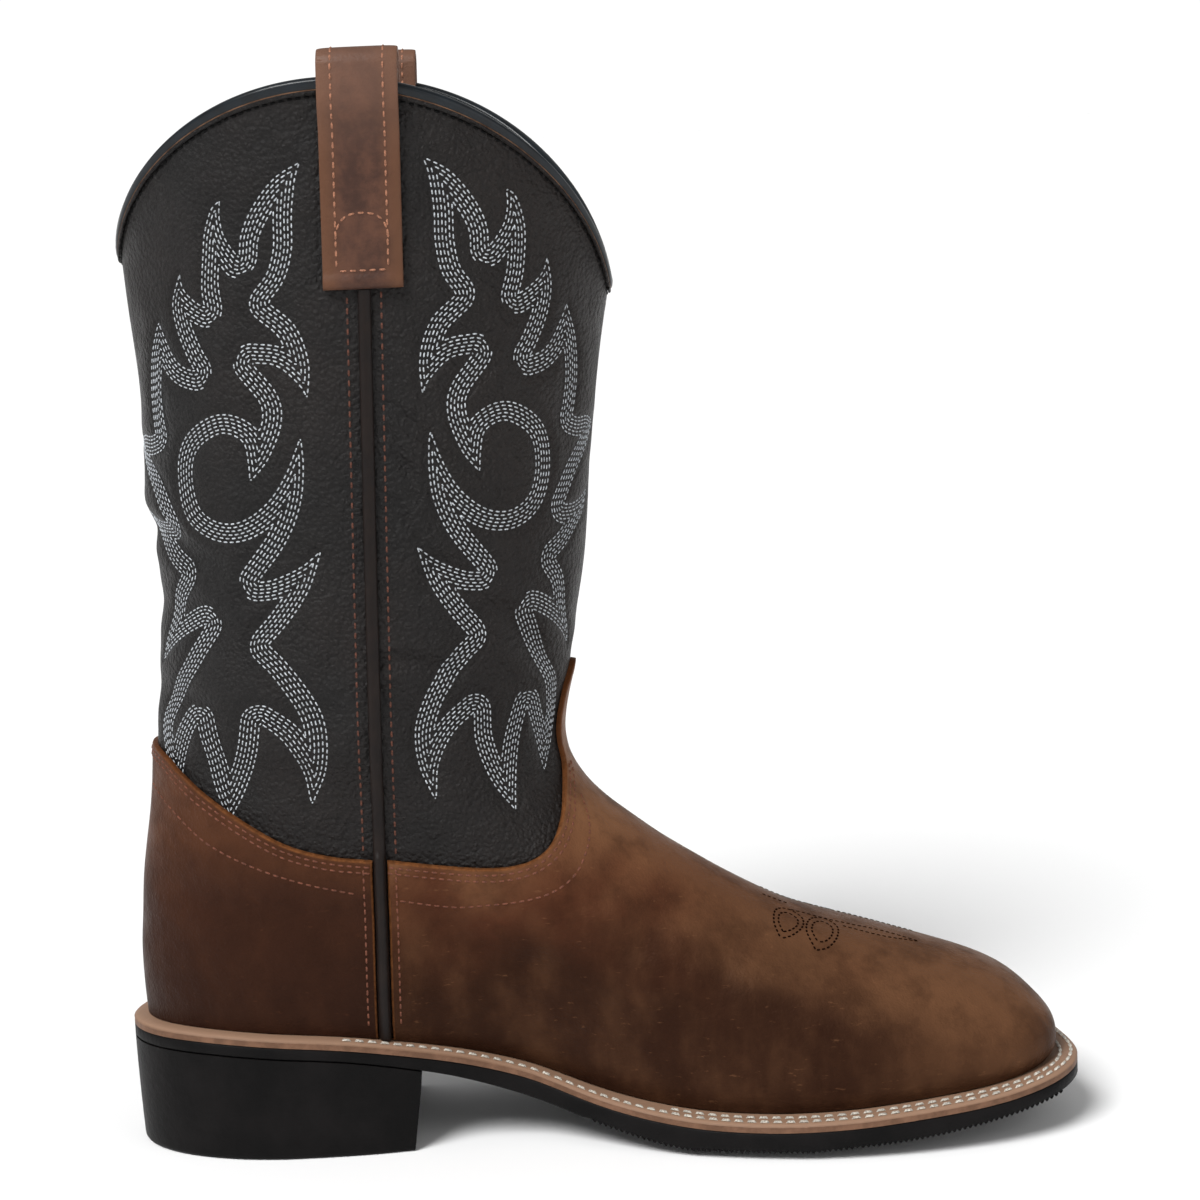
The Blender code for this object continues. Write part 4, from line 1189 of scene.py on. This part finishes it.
def strap_points(side, share, offset):
    """Points of the strap at shares across and distances from its middle line, a row per place of
    its path."""
    along = np.gradient(STRAP_PATH, axis=0)
    along /= np.linalg.norm(along, axis=1, keepdims=True)
    across = np.stack([along[:, 1], -along[:, 0]], axis=1)
    share = np.asarray(share)
    offset = np.broadcast_to(offset, (len(STRAP_PATH), len(share)))
    out = STRAP_PATH[:, 0, None] + offset * across[:, 0, None]
    up = STRAP_PATH[:, 1, None] + offset * across[:, 1, None]
    x = strap_x() + share * STRAP_WIDTH + STRAP_LEAN * up / STRAP_DROP
    edge_z = rim_z(side)
    base_z = edge_z + np.minimum(up, -STRAP_HOLD)
    row = row_at(x, base_z, side)
    point = skin(row, turn_at(row, x, side), out)
    point[..., 2] += edge_z + up - base_z
    point[..., 0] = x
    return point


def strap_rise():
    """How far the strap's outer face stands proud along its path: the turned hem at the low end."""
    fall = STRAP_PATH[:, 1] + STRAP_DROP
    outside = np.arange(len(STRAP_PATH)) < len(STRAP_PATH) / 2
    hem = (1 - ease((fall - 3.2 * MM) / (1.4 * MM))) * np.sqrt(np.clip(fall / (0.9 * MM), 0.05, 1))
    return np.where(outside, hem * 0.9 * MM, 0.0)


def make_strap(name, side):
    """Loop of leather with rounded edges: a flat oval section carried along the strap's path."""
    angle = np.linspace(0, 2 * math.pi, 44, endpoint=False)
    share = 0.5 * np.sign(np.cos(angle)) * np.abs(np.cos(angle)) ** 0.55
    lift = np.sign(np.sin(angle)) * np.abs(np.sin(angle)) ** 0.30
    offset = lift * STRAP / 2 + np.where(lift > 0, 1, 0) * strap_rise()[:, None]
    points = strap_points(side, share, offset)
    rows, count = points.shape[:2]
    faces = ring_quads(rows, count)
    caps = [np.array([np.arange(count)[::-1]]), np.array([(rows - 1) * count + np.arange(count)])]
    across = np.tile(np.abs(share), rows)
    add_piece(name + "_leather", points.reshape(-1, 3), [faces] + caps, [STRAP_LEATHER],
              [name], values={"across": across}, sharp=60)


# Sole


def sole_ring(turns, inset):
    """Plan points of the sole's outline, moved in by a distance: the feather line plus overlay and
    the welt's width there."""
    step = 1e-3
    base = form(0.0, turns)
    around = form(0.0, turns + step) - form(0.0, turns - step)
    out = np.stack([-around[:, 1], around[:, 0]], axis=1)
    out /= np.linalg.norm(out, axis=1, keepdims=True)
    width = sole_station(base[:, 0])[:, 5] * WELT_WIDTH + GAP + OVERLAY
    return base[:, :2] + out * (width - inset)[:, None]


def slab_mesh(profile, turns):
    """Rings at insets and heights, closed above and below by strips from side to side."""
    rings = []
    for inset, height in profile:
        plan = sole_ring(turns, inset)
        rings.append(np.column_stack([plan, height(plan[:, 0])]))
    count = len(turns)
    faces = ring_quads(len(rings), count)
    i = np.arange(1, count // 2 - 1)
    strips = [faces]
    for base in (0, (len(rings) - 1) * count):
        strips.append(np.column_stack([base + i, base + i + 1, base + count - 1 - i,
                                       base + count - i]))
        strips.append(np.array([[base, base + 1, base + count - 1],
                                [base + count // 2 - 1, base + count // 2, base + count // 2 + 1]]))
    return np.concatenate(rings), strips


SOLE_TURNS = np.linspace(0, 2 * math.pi, 560, endpoint=False)
RIB_PITCH = 1.7 * MM
RIB_HEIGHT = 0.6 * MM
RIB_START = 0.150
RIB_END = 0.2985


def ribbed(x):
    """How much of the rib height the sole's underside is drawn up by, over the ribbed forefoot."""
    return RIB_HEIGHT * ease((x - RIB_START + 0.004) / 0.004)


def make_outsole():
    """Rubber slab with a rounded, lifted lower edge, and fine ribs across under the forefoot."""
    def lifted(x, share):
        return sole_under(x) + share * sole_station(x)[..., 4] * EDGE_LIFT + ribbed(x)

    profile = (
        (EDGE_LIFT_WIDTH, lambda x: lifted(x, 0.0)),
        (0.5 * EDGE_LIFT_WIDTH, lambda x: lifted(x, 0.5)),
        (1.0 * MM, lambda x: lifted(x, 0.93)),
        (0.3 * MM, lambda x: lifted(x, 1.0) + 0.1 * MM),
        (0.0, lambda x: lifted(x, 1.0) + 0.5 * MM),
        (0.0, lambda x: (lifted(x, 1.0) + sole_top(x)) / 2),
        (0.0, lambda x: sole_top(x) - 0.5 * MM),
        (0.3 * MM, lambda x: sole_top(x)))
    points, faces = slab_mesh(profile, SOLE_TURNS)
    ribs = np.arange(RIB_START, RIB_END, RIB_PITCH)
    outline = sole_ring(SOLE_TURNS, 0.15 * MM)
    half = len(SOLE_TURNS) // 2
    order = np.argsort(outline[:half, 0])
    near_y = np.interp(ribs, outline[:half][order, 0], outline[:half][order, 1])
    order = np.argsort(outline[half:, 0])
    far_y = np.interp(ribs, outline[half:][order, 0], outline[half:][order, 1])
    stations = np.array([0.0, 0.25, 0.5, 0.75, 1.0])
    share = np.concatenate([1 - stations, stations])
    y = np.concatenate([
        near_y[:, None] + stations * EDGE_LIFT_WIDTH,
        far_y[:, None] - stations[::-1] * EDGE_LIFT_WIDTH], axis=1)
    corner_x = np.array([-0.42, -0.12, 0.12, 0.42]) * RIB_PITCH
    corner_z = np.array([0.35, -1.0, -1.0, 0.35]) * RIB_HEIGHT
    x = ribs[:, None, None] + corner_x[None, None, :] + 0 * y[:, :, None]
    z = lifted(x, share[None, :, None]) + corner_z[None, None, :]
    block = np.stack([x, y[:, :, None] + 0 * x, z], -1)
    places = y.shape[1]
    base = len(points) + (np.arange(len(ribs)) * places * 4)[:, None, None]
    belt = ring_quads(places, 4)
    ends = np.array([[0, 1, 2, 3], [(places - 1) * 4 + k for k in (3, 2, 1, 0)]])
    faces += [(base + belt).reshape(-1, 4), (base + ends).reshape(-1, 4)]
    add_piece("outsole_rubber", np.concatenate([points, block.reshape(-1, 3)]), faces, [SOLE_RUBBER],
              ["outsole"])


def make_welt():
    """Ring of welt: a flat top that falls a little to a rounded outer edge."""
    profile = ((0.0, GAP), (0.0, GAP + 0.5 * MM), (0.12 * MM, GAP + 1.3 * MM),
               (0.0, GAP + WELT - WELT_LIP - 0.4 * MM), (0.35 * MM, GAP + WELT - WELT_LIP),
               (1.2 * MM, GAP + WELT - 0.35 * WELT_LIP), (3 * MM, GAP + WELT - 0.05 * MM),
               (WELT_INSIDE, GAP + WELT), (WELT_INSIDE, GAP))
    rings = []
    for inset, rise in profile:
        plan = sole_ring(SOLE_TURNS, inset)
        rings.append(np.column_stack([plan, sole_top(plan[:, 0]) + rise]))
    faces = ring_quads(len(rings), len(SOLE_TURNS), close_rings=True)
    add_piece("welt_strip", np.concatenate(rings), [faces], [WELT_LEATHER], ["welt"])


def make_heel():
    """Rubber block, straight at its breast, tapering a little to a rounded lower edge."""
    def turns(height):
        breast = HEEL_LENGTH + HEEL_BREAST_SLANT * height / SEAT_HEIGHT
        half = np.linspace(float(turn_at(0.0, breast, -1)), math.pi, 90)
        return np.concatenate([half, 2 * math.pi - half[-2::-1]])

    round_top = 1.8 * MM
    levels = ((HEEL_TAPER + 1.4 * MM, 0.0), (HEEL_TAPER + 0.5 * MM, 0.35 * MM),
              (HEEL_TAPER + 0.1 * MM, 1.0 * MM), (HEEL_TAPER, round_top))
    rings = []
    for inset, height in levels:
        plan = sole_ring(turns(height), inset)
        rings.append(np.column_stack([plan, np.full(len(plan), height)]))
    for share in np.linspace(0.1, 1.0, 8):
        height = round_top + share * (SEAT_HEIGHT - round_top)
        plan = sole_ring(turns(height), HEEL_TAPER * (1 - share) ** 1.6)
        top = sole_under(plan[:, 0]) - GAP
        rings.append(np.column_stack([plan, round_top + share * (top - round_top)]))
    count = len(rings[0])
    faces = [ring_quads(len(rings), count, close_count=False)]
    wall = np.arange(len(rings) - 1)[:, None] * count
    faces.append(np.column_stack([wall, wall + count - 1, wall + 2 * count - 1, wall + count]))
    i = np.arange(count // 2 - 1)
    middle = count // 2
    for base in (0, (len(rings) - 1) * count):
        faces.append(np.column_stack([base + i, base + i + 1, base + count - 2 - i,
                                      base + count - 1 - i]))
        faces.append(np.array([[base + middle - 1, base + middle, base + middle + 1]]))
    add_piece("heel_rubber", np.concatenate(rings), faces, [HEEL_RUBBER], ["heel"])


# Sewing

# Distances of the double rows from an overlay's edge, and the height where they end on the tongue
EDGE_ROWS = (1.9 * MM, 3.9 * MM)
ROWS_END = 0.121
# Distances of the rows beside the side seam, behind it and ahead of it, and of the collar's row
SEAM_ROWS = (-5.2 * MM, 5.0 * MM)
SEAM_ROWS_LOW = 0.042
COLLAR_ROW = 0.6 * MM
# Welt rows: inset from the edge, and the place on the inner side where they start
WELT_ROWS = ((2.0 * MM, 0.070), (5.4 * MM, 0.175))
# Third rows of the counter and of the vamp in the side view, in mm
THIRD_ROWS = (
    ((14.5, 119.5), (22.5, 112.2), (32.6, 103.6), (46.9, 96.6), (63.1, 91.0), (78.9, 87.0)),
    ((91.7, 84.3), (105.7, 82.0), (121.9, 81.7), (137.1, 83.9), (146.2, 88.6), (150.4, 95.5),
     (151.4, 100.3), (150.9, 104.6), (148.6, 110.5)),
)


def flame_runs(one):
    """Rows of the flame on one panel: the outline and its parallels inside, cut where they would
    come closer to the outline than their own distance."""
    runs = []
    for k in range(FLAME_ROWS):
        distance = k * FLAME_SPACING
        places = FLAME_RING + distance * FLAME_INWARD
        if k:
            keep = nearest(places, FLAME_RING) > distance - 0.06 * MM
        else:
            keep = np.ones(len(places), bool)
        kept = places[keep]
        breaks = np.nonzero(np.linalg.norm(np.diff(kept, axis=0), axis=1) > 2.0 * MM)[0] + 1
        for run in np.split(kept, breaks):
            moved = np.linalg.norm(np.diff(run, axis=0), axis=1) > 0.02 * MM
            run = run[np.concatenate([[True], moved])]
            if len(run) < 6:
                continue
            z = run[:, 1]
            share = run[:, 0] / np.interp(z, LEVELS, FRONT_WIDTH)
            turn = read_grid(one["turn"], level_of(z), np.clip(share, 0, 1) * (len(SHARES) - 1))
            row = row_on(z, turn)
            point, normal = on_skin(row, turn, shaft_relief(row, turn))
            runs.append((point, normal))
    return runs


def side_run(x, z, side, relief):
    """Run along a side view curve, laid on the surface at a relief."""
    row = row_at(x, z, side)
    turn = turn_at(row, x, side)
    return on_skin(row, turn, relief(row, turn))


def inset_run(rim, distance):
    """Run beside an overlay's edge: each point moves a distance square to the edge across the
    surface, in the steps of row and turn that come closest to that move by least squares."""
    row, turn = rim
    step = 1e-4
    point = form(row, turn)
    by_row = (form(row + step, turn) - point) / step
    by_turn = (form(row, turn + step) - point) / step
    move = np.cross(np.gradient(point, axis=0), np.cross(by_row, by_turn))
    move *= distance / np.linalg.norm(move, axis=1, keepdims=True)
    a, b, c = ((u * v).sum(axis=1)
               for u, v in ((by_row, by_row), (by_row, by_turn), (by_turn, by_turn)))
    e, f = ((u * move).sum(axis=1) for u in (by_row, by_turn))
    row = row + (c * e - b * f) / (a * c - b * b)
    turn = turn + (a * f - b * e) / (a * c - b * b)
    return on_skin(row, turn, overlay_relief(row, turn))


def seam_run(side, low, high, relief, shift):
    """Vertical row beside the side seam between two heights."""
    z = np.linspace(high, low, 160)
    return side_run(seam_x(z) + shift, z, side, relief)


def make_sewing(counter_rim, vamp_rim):
    """Flame, seam rows, rows along the overlays' edges and the collar's row."""
    for number, one in enumerate(PANELS):
        sew("flame_stitch_%d" % (number + 1), flame_runs(one), "flame", FLAME_THREAD)
    shaft_rows = []
    brown_rows = [inset_run(counter_rim, depth) for depth in EDGE_ROWS]
    for depth in EDGE_ROWS:
        point, normal = inset_run(vamp_rim, depth)
        high = np.flatnonzero(point[:, 2] > ROWS_END)
        for part in (slice(None, high[0]), slice(high[-1] + 1, None)):
            brown_rows.append((point[part], normal[part]))
    for side in (-1, 1):
        for shift in SEAM_ROWS:
            shaft_rows.append(seam_run(side, SEAM_HEIGHT + 1.5 * MM, strap_low(side) - MM,
                                       shaft_relief, shift))
            brown_rows.append(seam_run(side, SEAM_ROWS_LOW, SEAM_HEIGHT - 2 * MM, overlay_relief,
                                       shift))
        for chart in THIRD_ROWS:
            curve = along_rows(np.array(chart) * MM, np.linspace(0, len(chart) - 1, 120))
            brown_rows.append(side_run(curve[:, 0], curve[:, 1], side, overlay_relief))
    sew("seam_stitch_shaft", shaft_rows, "shaft", SHAFT_THREAD)
    sew("seam_stitch_overlay", brown_rows, "overlay", SEAM_THREAD)
    turns = np.linspace(0, 2 * math.pi, 900)
    rim = form(TOP_ROW, turns)

    def below_binding(row):
        return np.linalg.norm(form(row, turns) - rim, axis=-1) > BINDING_DEPTH + COLLAR_ROW

    row = halve(below_binding, 0 * turns + TOP_ROW - 2, 0 * turns + TOP_ROW)
    sew("collar_stitch", [on_skin(row, turns, shaft_relief(row, turns))], "collar", BLACK_THREAD)


def welt_run(inset, start):
    """Run on top of the welt at an inset, from a place on the inner side round the toe."""
    turns = np.linspace(float(turn_at(0.0, start, -1)), -2 * math.pi + float(turn_at(0.0, start, 1)),
                        900)
    plan = sole_ring(turns, inset)
    rise = GAP + WELT - WELT_LIP * np.clip(1 - inset / (3 * MM), 0, 1) * 0.5
    points = np.column_stack([plan, sole_top(plan[:, 0]) + rise])
    return points, np.tile([0.0, 0.0, 1.0], (len(points), 1))


def make_welt_sewing():
    sew("welt_stitch", [welt_run(*row) for row in WELT_ROWS], "welt", WELT_THREAD)


# Distance of the strap's rows from its middle, and height of its lowest row above its end
STRAP_ROW_OUT = 7.7 * MM
STRAP_BOX_LOW = 5.5 * MM


def strap_runs(side):
    """Rows near the strap's edges all along it, the box at its low end, and the box's arch."""
    half = STRAP_ROW_OUT / STRAP_WIDTH
    shares = np.array([-half, half])
    offset = STRAP / 2 + strap_rise()[:, None]
    points = strap_points(side, shares, offset)
    above = strap_points(side, shares, offset + MM)
    keep = STRAP_PATH[:, 1] + STRAP_DROP > STRAP_BOX_LOW
    runs = []
    for k in range(2):
        point = points[keep, k]
        normal = (above[keep, k] - point) / MM
        runs.append((point, normal))
    angle = np.linspace(0, math.pi, 60)
    arch_share = -half * np.sign(np.cos(angle)) * np.abs(np.cos(angle)) ** 0.7
    arch_up = (13.5 + 9.0 * np.sin(angle) ** 0.8) * MM
    row_share = np.linspace(-half, half, 20)
    for share, rise in ((arch_share, arch_up), (row_share, np.full(20, STRAP_BOX_LOW))):
        x = strap_x() + share * STRAP_WIDTH + STRAP_LEAN * (rise - STRAP_DROP) / STRAP_DROP
        z = strap_low(side) + rise
        row = row_at(x, z, side)
        runs.append(on_skin(row, turn_at(row, x, side), np.full(len(x), GAP + STRAP)))
    return runs


# Toe stitching of the inner side: mm along the boot, mm from its middle plane. The outer side is
# its mirror image in the ridge, and each loop has a smaller one inside.
TOE_RIDGE = -2.0
TOE_LOOPS = (
    ((210.9, -27.1), (209.2, -21.5), (210.2, -15.0), (214.4, -11.8), (218.6, -14.5), (218.4, -20.0),
     (214.8, -24.8), (210.9, -27.1)),
    ((221.9, -27.8), (219.6, -21.3), (221.3, -14.0), (225.7, -10.4), (229.9, -14.0), (229.4, -20.5),
     (226.2, -25.6), (221.9, -27.8)),
)
TOE_LINES = (
    ((205.5, -8.6), (209.8, -7.7), (215.0, -7.0)),
    ((214.4, -11.8), (219.5, -10.6), (225.7, -10.4), (235.0, -9.6), (244.3, -8.8), (257.0, -9.4)),
    ((231.0, -12.6), (235.5, -12.9), (245.9, -12.8), (257.0, -9.4)),
)


def toe_runs():
    """Two leaf loops, each with its inner parallel, and the lines that run on to a point ahead."""
    strokes = [np.array(line) for line in TOE_LINES]
    for loop in TOE_LOOPS:
        loop = np.array(loop)
        middle = loop[:-1].mean(axis=0)
        strokes += [loop, middle + 0.66 * (loop - middle)]
    runs = []
    for stroke in strokes:
        curve = along_rows(stroke, np.linspace(0, len(stroke) - 1, 20 * len(stroke)))
        for y in (curve[:, 1], 2 * TOE_RIDGE - curve[:, 1]):
            runs.append(plan_run(curve[:, 0] * MM, y * MM))
    return runs


def plan_run(x, y):
    """Run over the vamp above plan points: each starts at the closest of a fine grid of places and
    moves to its point by the slopes there, again and again."""
    row, turn = np.meshgrid(np.linspace(3.0, 7.0, 220), np.linspace(-1.4, 1.4, 281), indexing="ij")
    flat = form(row, turn)[..., :2].reshape(-1, 2)
    wanted = np.column_stack([x, y])
    best = np.array([np.argmin(((flat - one) ** 2).sum(axis=1)) for one in wanted])
    row = row.ravel()[best]
    turn = turn.ravel()[best]
    for _ in range(6):
        point = form(row, turn)
        step = 1e-4
        d_row = (form(row + step, turn) - point)[:, :2] / step
        d_turn = (form(row, turn + step) - point)[:, :2] / step
        error = wanted - point[:, :2]
        determinant = d_row[:, 0] * d_turn[:, 1] - d_row[:, 1] * d_turn[:, 0]
        row = row + (error[:, 0] * d_turn[:, 1] - error[:, 1] * d_turn[:, 0]) / determinant
        turn = turn + (d_row[:, 0] * error[:, 1] - d_row[:, 1] * error[:, 0]) / determinant
    return on_skin(row, turn, overlay_relief(row, turn))


make_upper()
counter_edge = make_counter()
vamp_edge = make_vamp()
make_binding()
for which, sign in (("medial", -1), ("lateral", 1)):
    make_strap("pull_strap_" + which, sign)
    make_piping("side_cord_" + which, sign)
make_outsole()
make_welt()
make_heel()
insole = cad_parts["insole"]
insole.data.materials.clear()
insole.data.materials.append(INSOLE_LEATHER)
make_sewing(counter_edge, vamp_edge)
make_welt_sewing()
for which, sign in (("medial", -1), ("lateral", 1)):
    sew("strap_stitch_" + which, strap_runs(sign), "strap", STRAP_THREAD)
sew("toe_stitch", toe_runs(), "toe", TOE_THREAD)


# Floor, light and camera

FLOOR = 20.0
CAMERA_PLACE = (0.0054, -0.9492, 0.3334)
CAMERA_PITCH = math.radians(9.7)
CAMERA_ROLL = math.radians(2.5)
CAMERA_LENS = 90.15


def make_floor():
    mesh = bpy.data.meshes.new("floor")
    corners = [(FLOOR * x, FLOOR * y, 0) for x, y in ((-1, -1), (1, -1), (1, 1), (-1, 1))]
    mesh.from_pydata(corners, [], [(0, 1, 2, 3)])
    floor = bpy.data.objects.new("floor", mesh)
    bpy.context.scene.collection.objects.link(floor)
    material, tree, shader, _ = new_material("matt_white_paper")
    wire(tree, shader, Base_Color=linear("#ffffff"), Roughness=0.9)
    mesh.materials.append(material)


def add_light(name, place, target, size, power):
    """Square soft box that faces a point."""
    lamp = bpy.data.lights.new(name, "AREA")
    lamp.shape = "SQUARE"
    lamp.size = size
    lamp.energy = power
    item = bpy.data.objects.new(name, lamp)
    item.location = place
    item.rotation_euler = (Vector(target) - Vector(place)).to_track_quat("-Z", "Y").to_euler()
    bpy.context.scene.collection.objects.link(item)


def add_sun(name, place, angle, power):
    """Far, wide light from a direction."""
    lamp = bpy.data.lights.new(name, "SUN")
    lamp.angle = math.radians(angle)
    lamp.energy = power
    item = bpy.data.objects.new(name, lamp)
    item.rotation_euler = Vector(place).to_track_quat("Z", "Y").to_euler()
    bpy.context.scene.collection.objects.link(item)


def add_camera():
    """The photograph's view: level with the collar, a little down, rolled so that the toe rises."""
    level = Vector((1.0, 0.0, 0.0))
    top = Vector((0.0, math.sin(CAMERA_PITCH), math.cos(CAMERA_PITCH)))
    right = level * math.cos(CAMERA_ROLL) - top * math.sin(CAMERA_ROLL)
    up = level * math.sin(CAMERA_ROLL) + top * math.cos(CAMERA_ROLL)
    back = right.cross(up)
    camera = bpy.data.cameras.new("camera")
    camera.lens = CAMERA_LENS
    camera.sensor_width = 36.0
    camera.clip_end = 50.0
    item = bpy.data.objects.new("camera", camera)
    turned = Matrix((right, up, back)).transposed().to_4x4()
    item.matrix_world = Matrix.Translation(CAMERA_PLACE) @ turned
    bpy.context.scene.collection.objects.link(item)
    bpy.context.scene.camera = item


def add_world():
    """White backdrop low down, and a dimmer room above it."""
    world = bpy.data.worlds.new("studio")
    world.use_nodes = True
    tree = world.node_tree
    height = axes(tree, add_node(tree, "TexCoord").outputs["Generated"])[2]
    wire(tree, tree.nodes["Background"], Color=linear("#ffffff"),
         Strength=spread(tree, height, 0.08, 0.3, 1.05, 0.30))
    bpy.context.scene.world = world


make_floor()
add_sun("key", (-0.55, -0.7, 1.0), 28.0, 3.15)
add_light("fill", (1.2, -1.1, 0.9), (0.0, 0.0, 0.12), 1.2, 4.0)
add_camera()
add_world()
bpy.context.scene.view_settings.view_transform = "Standard"
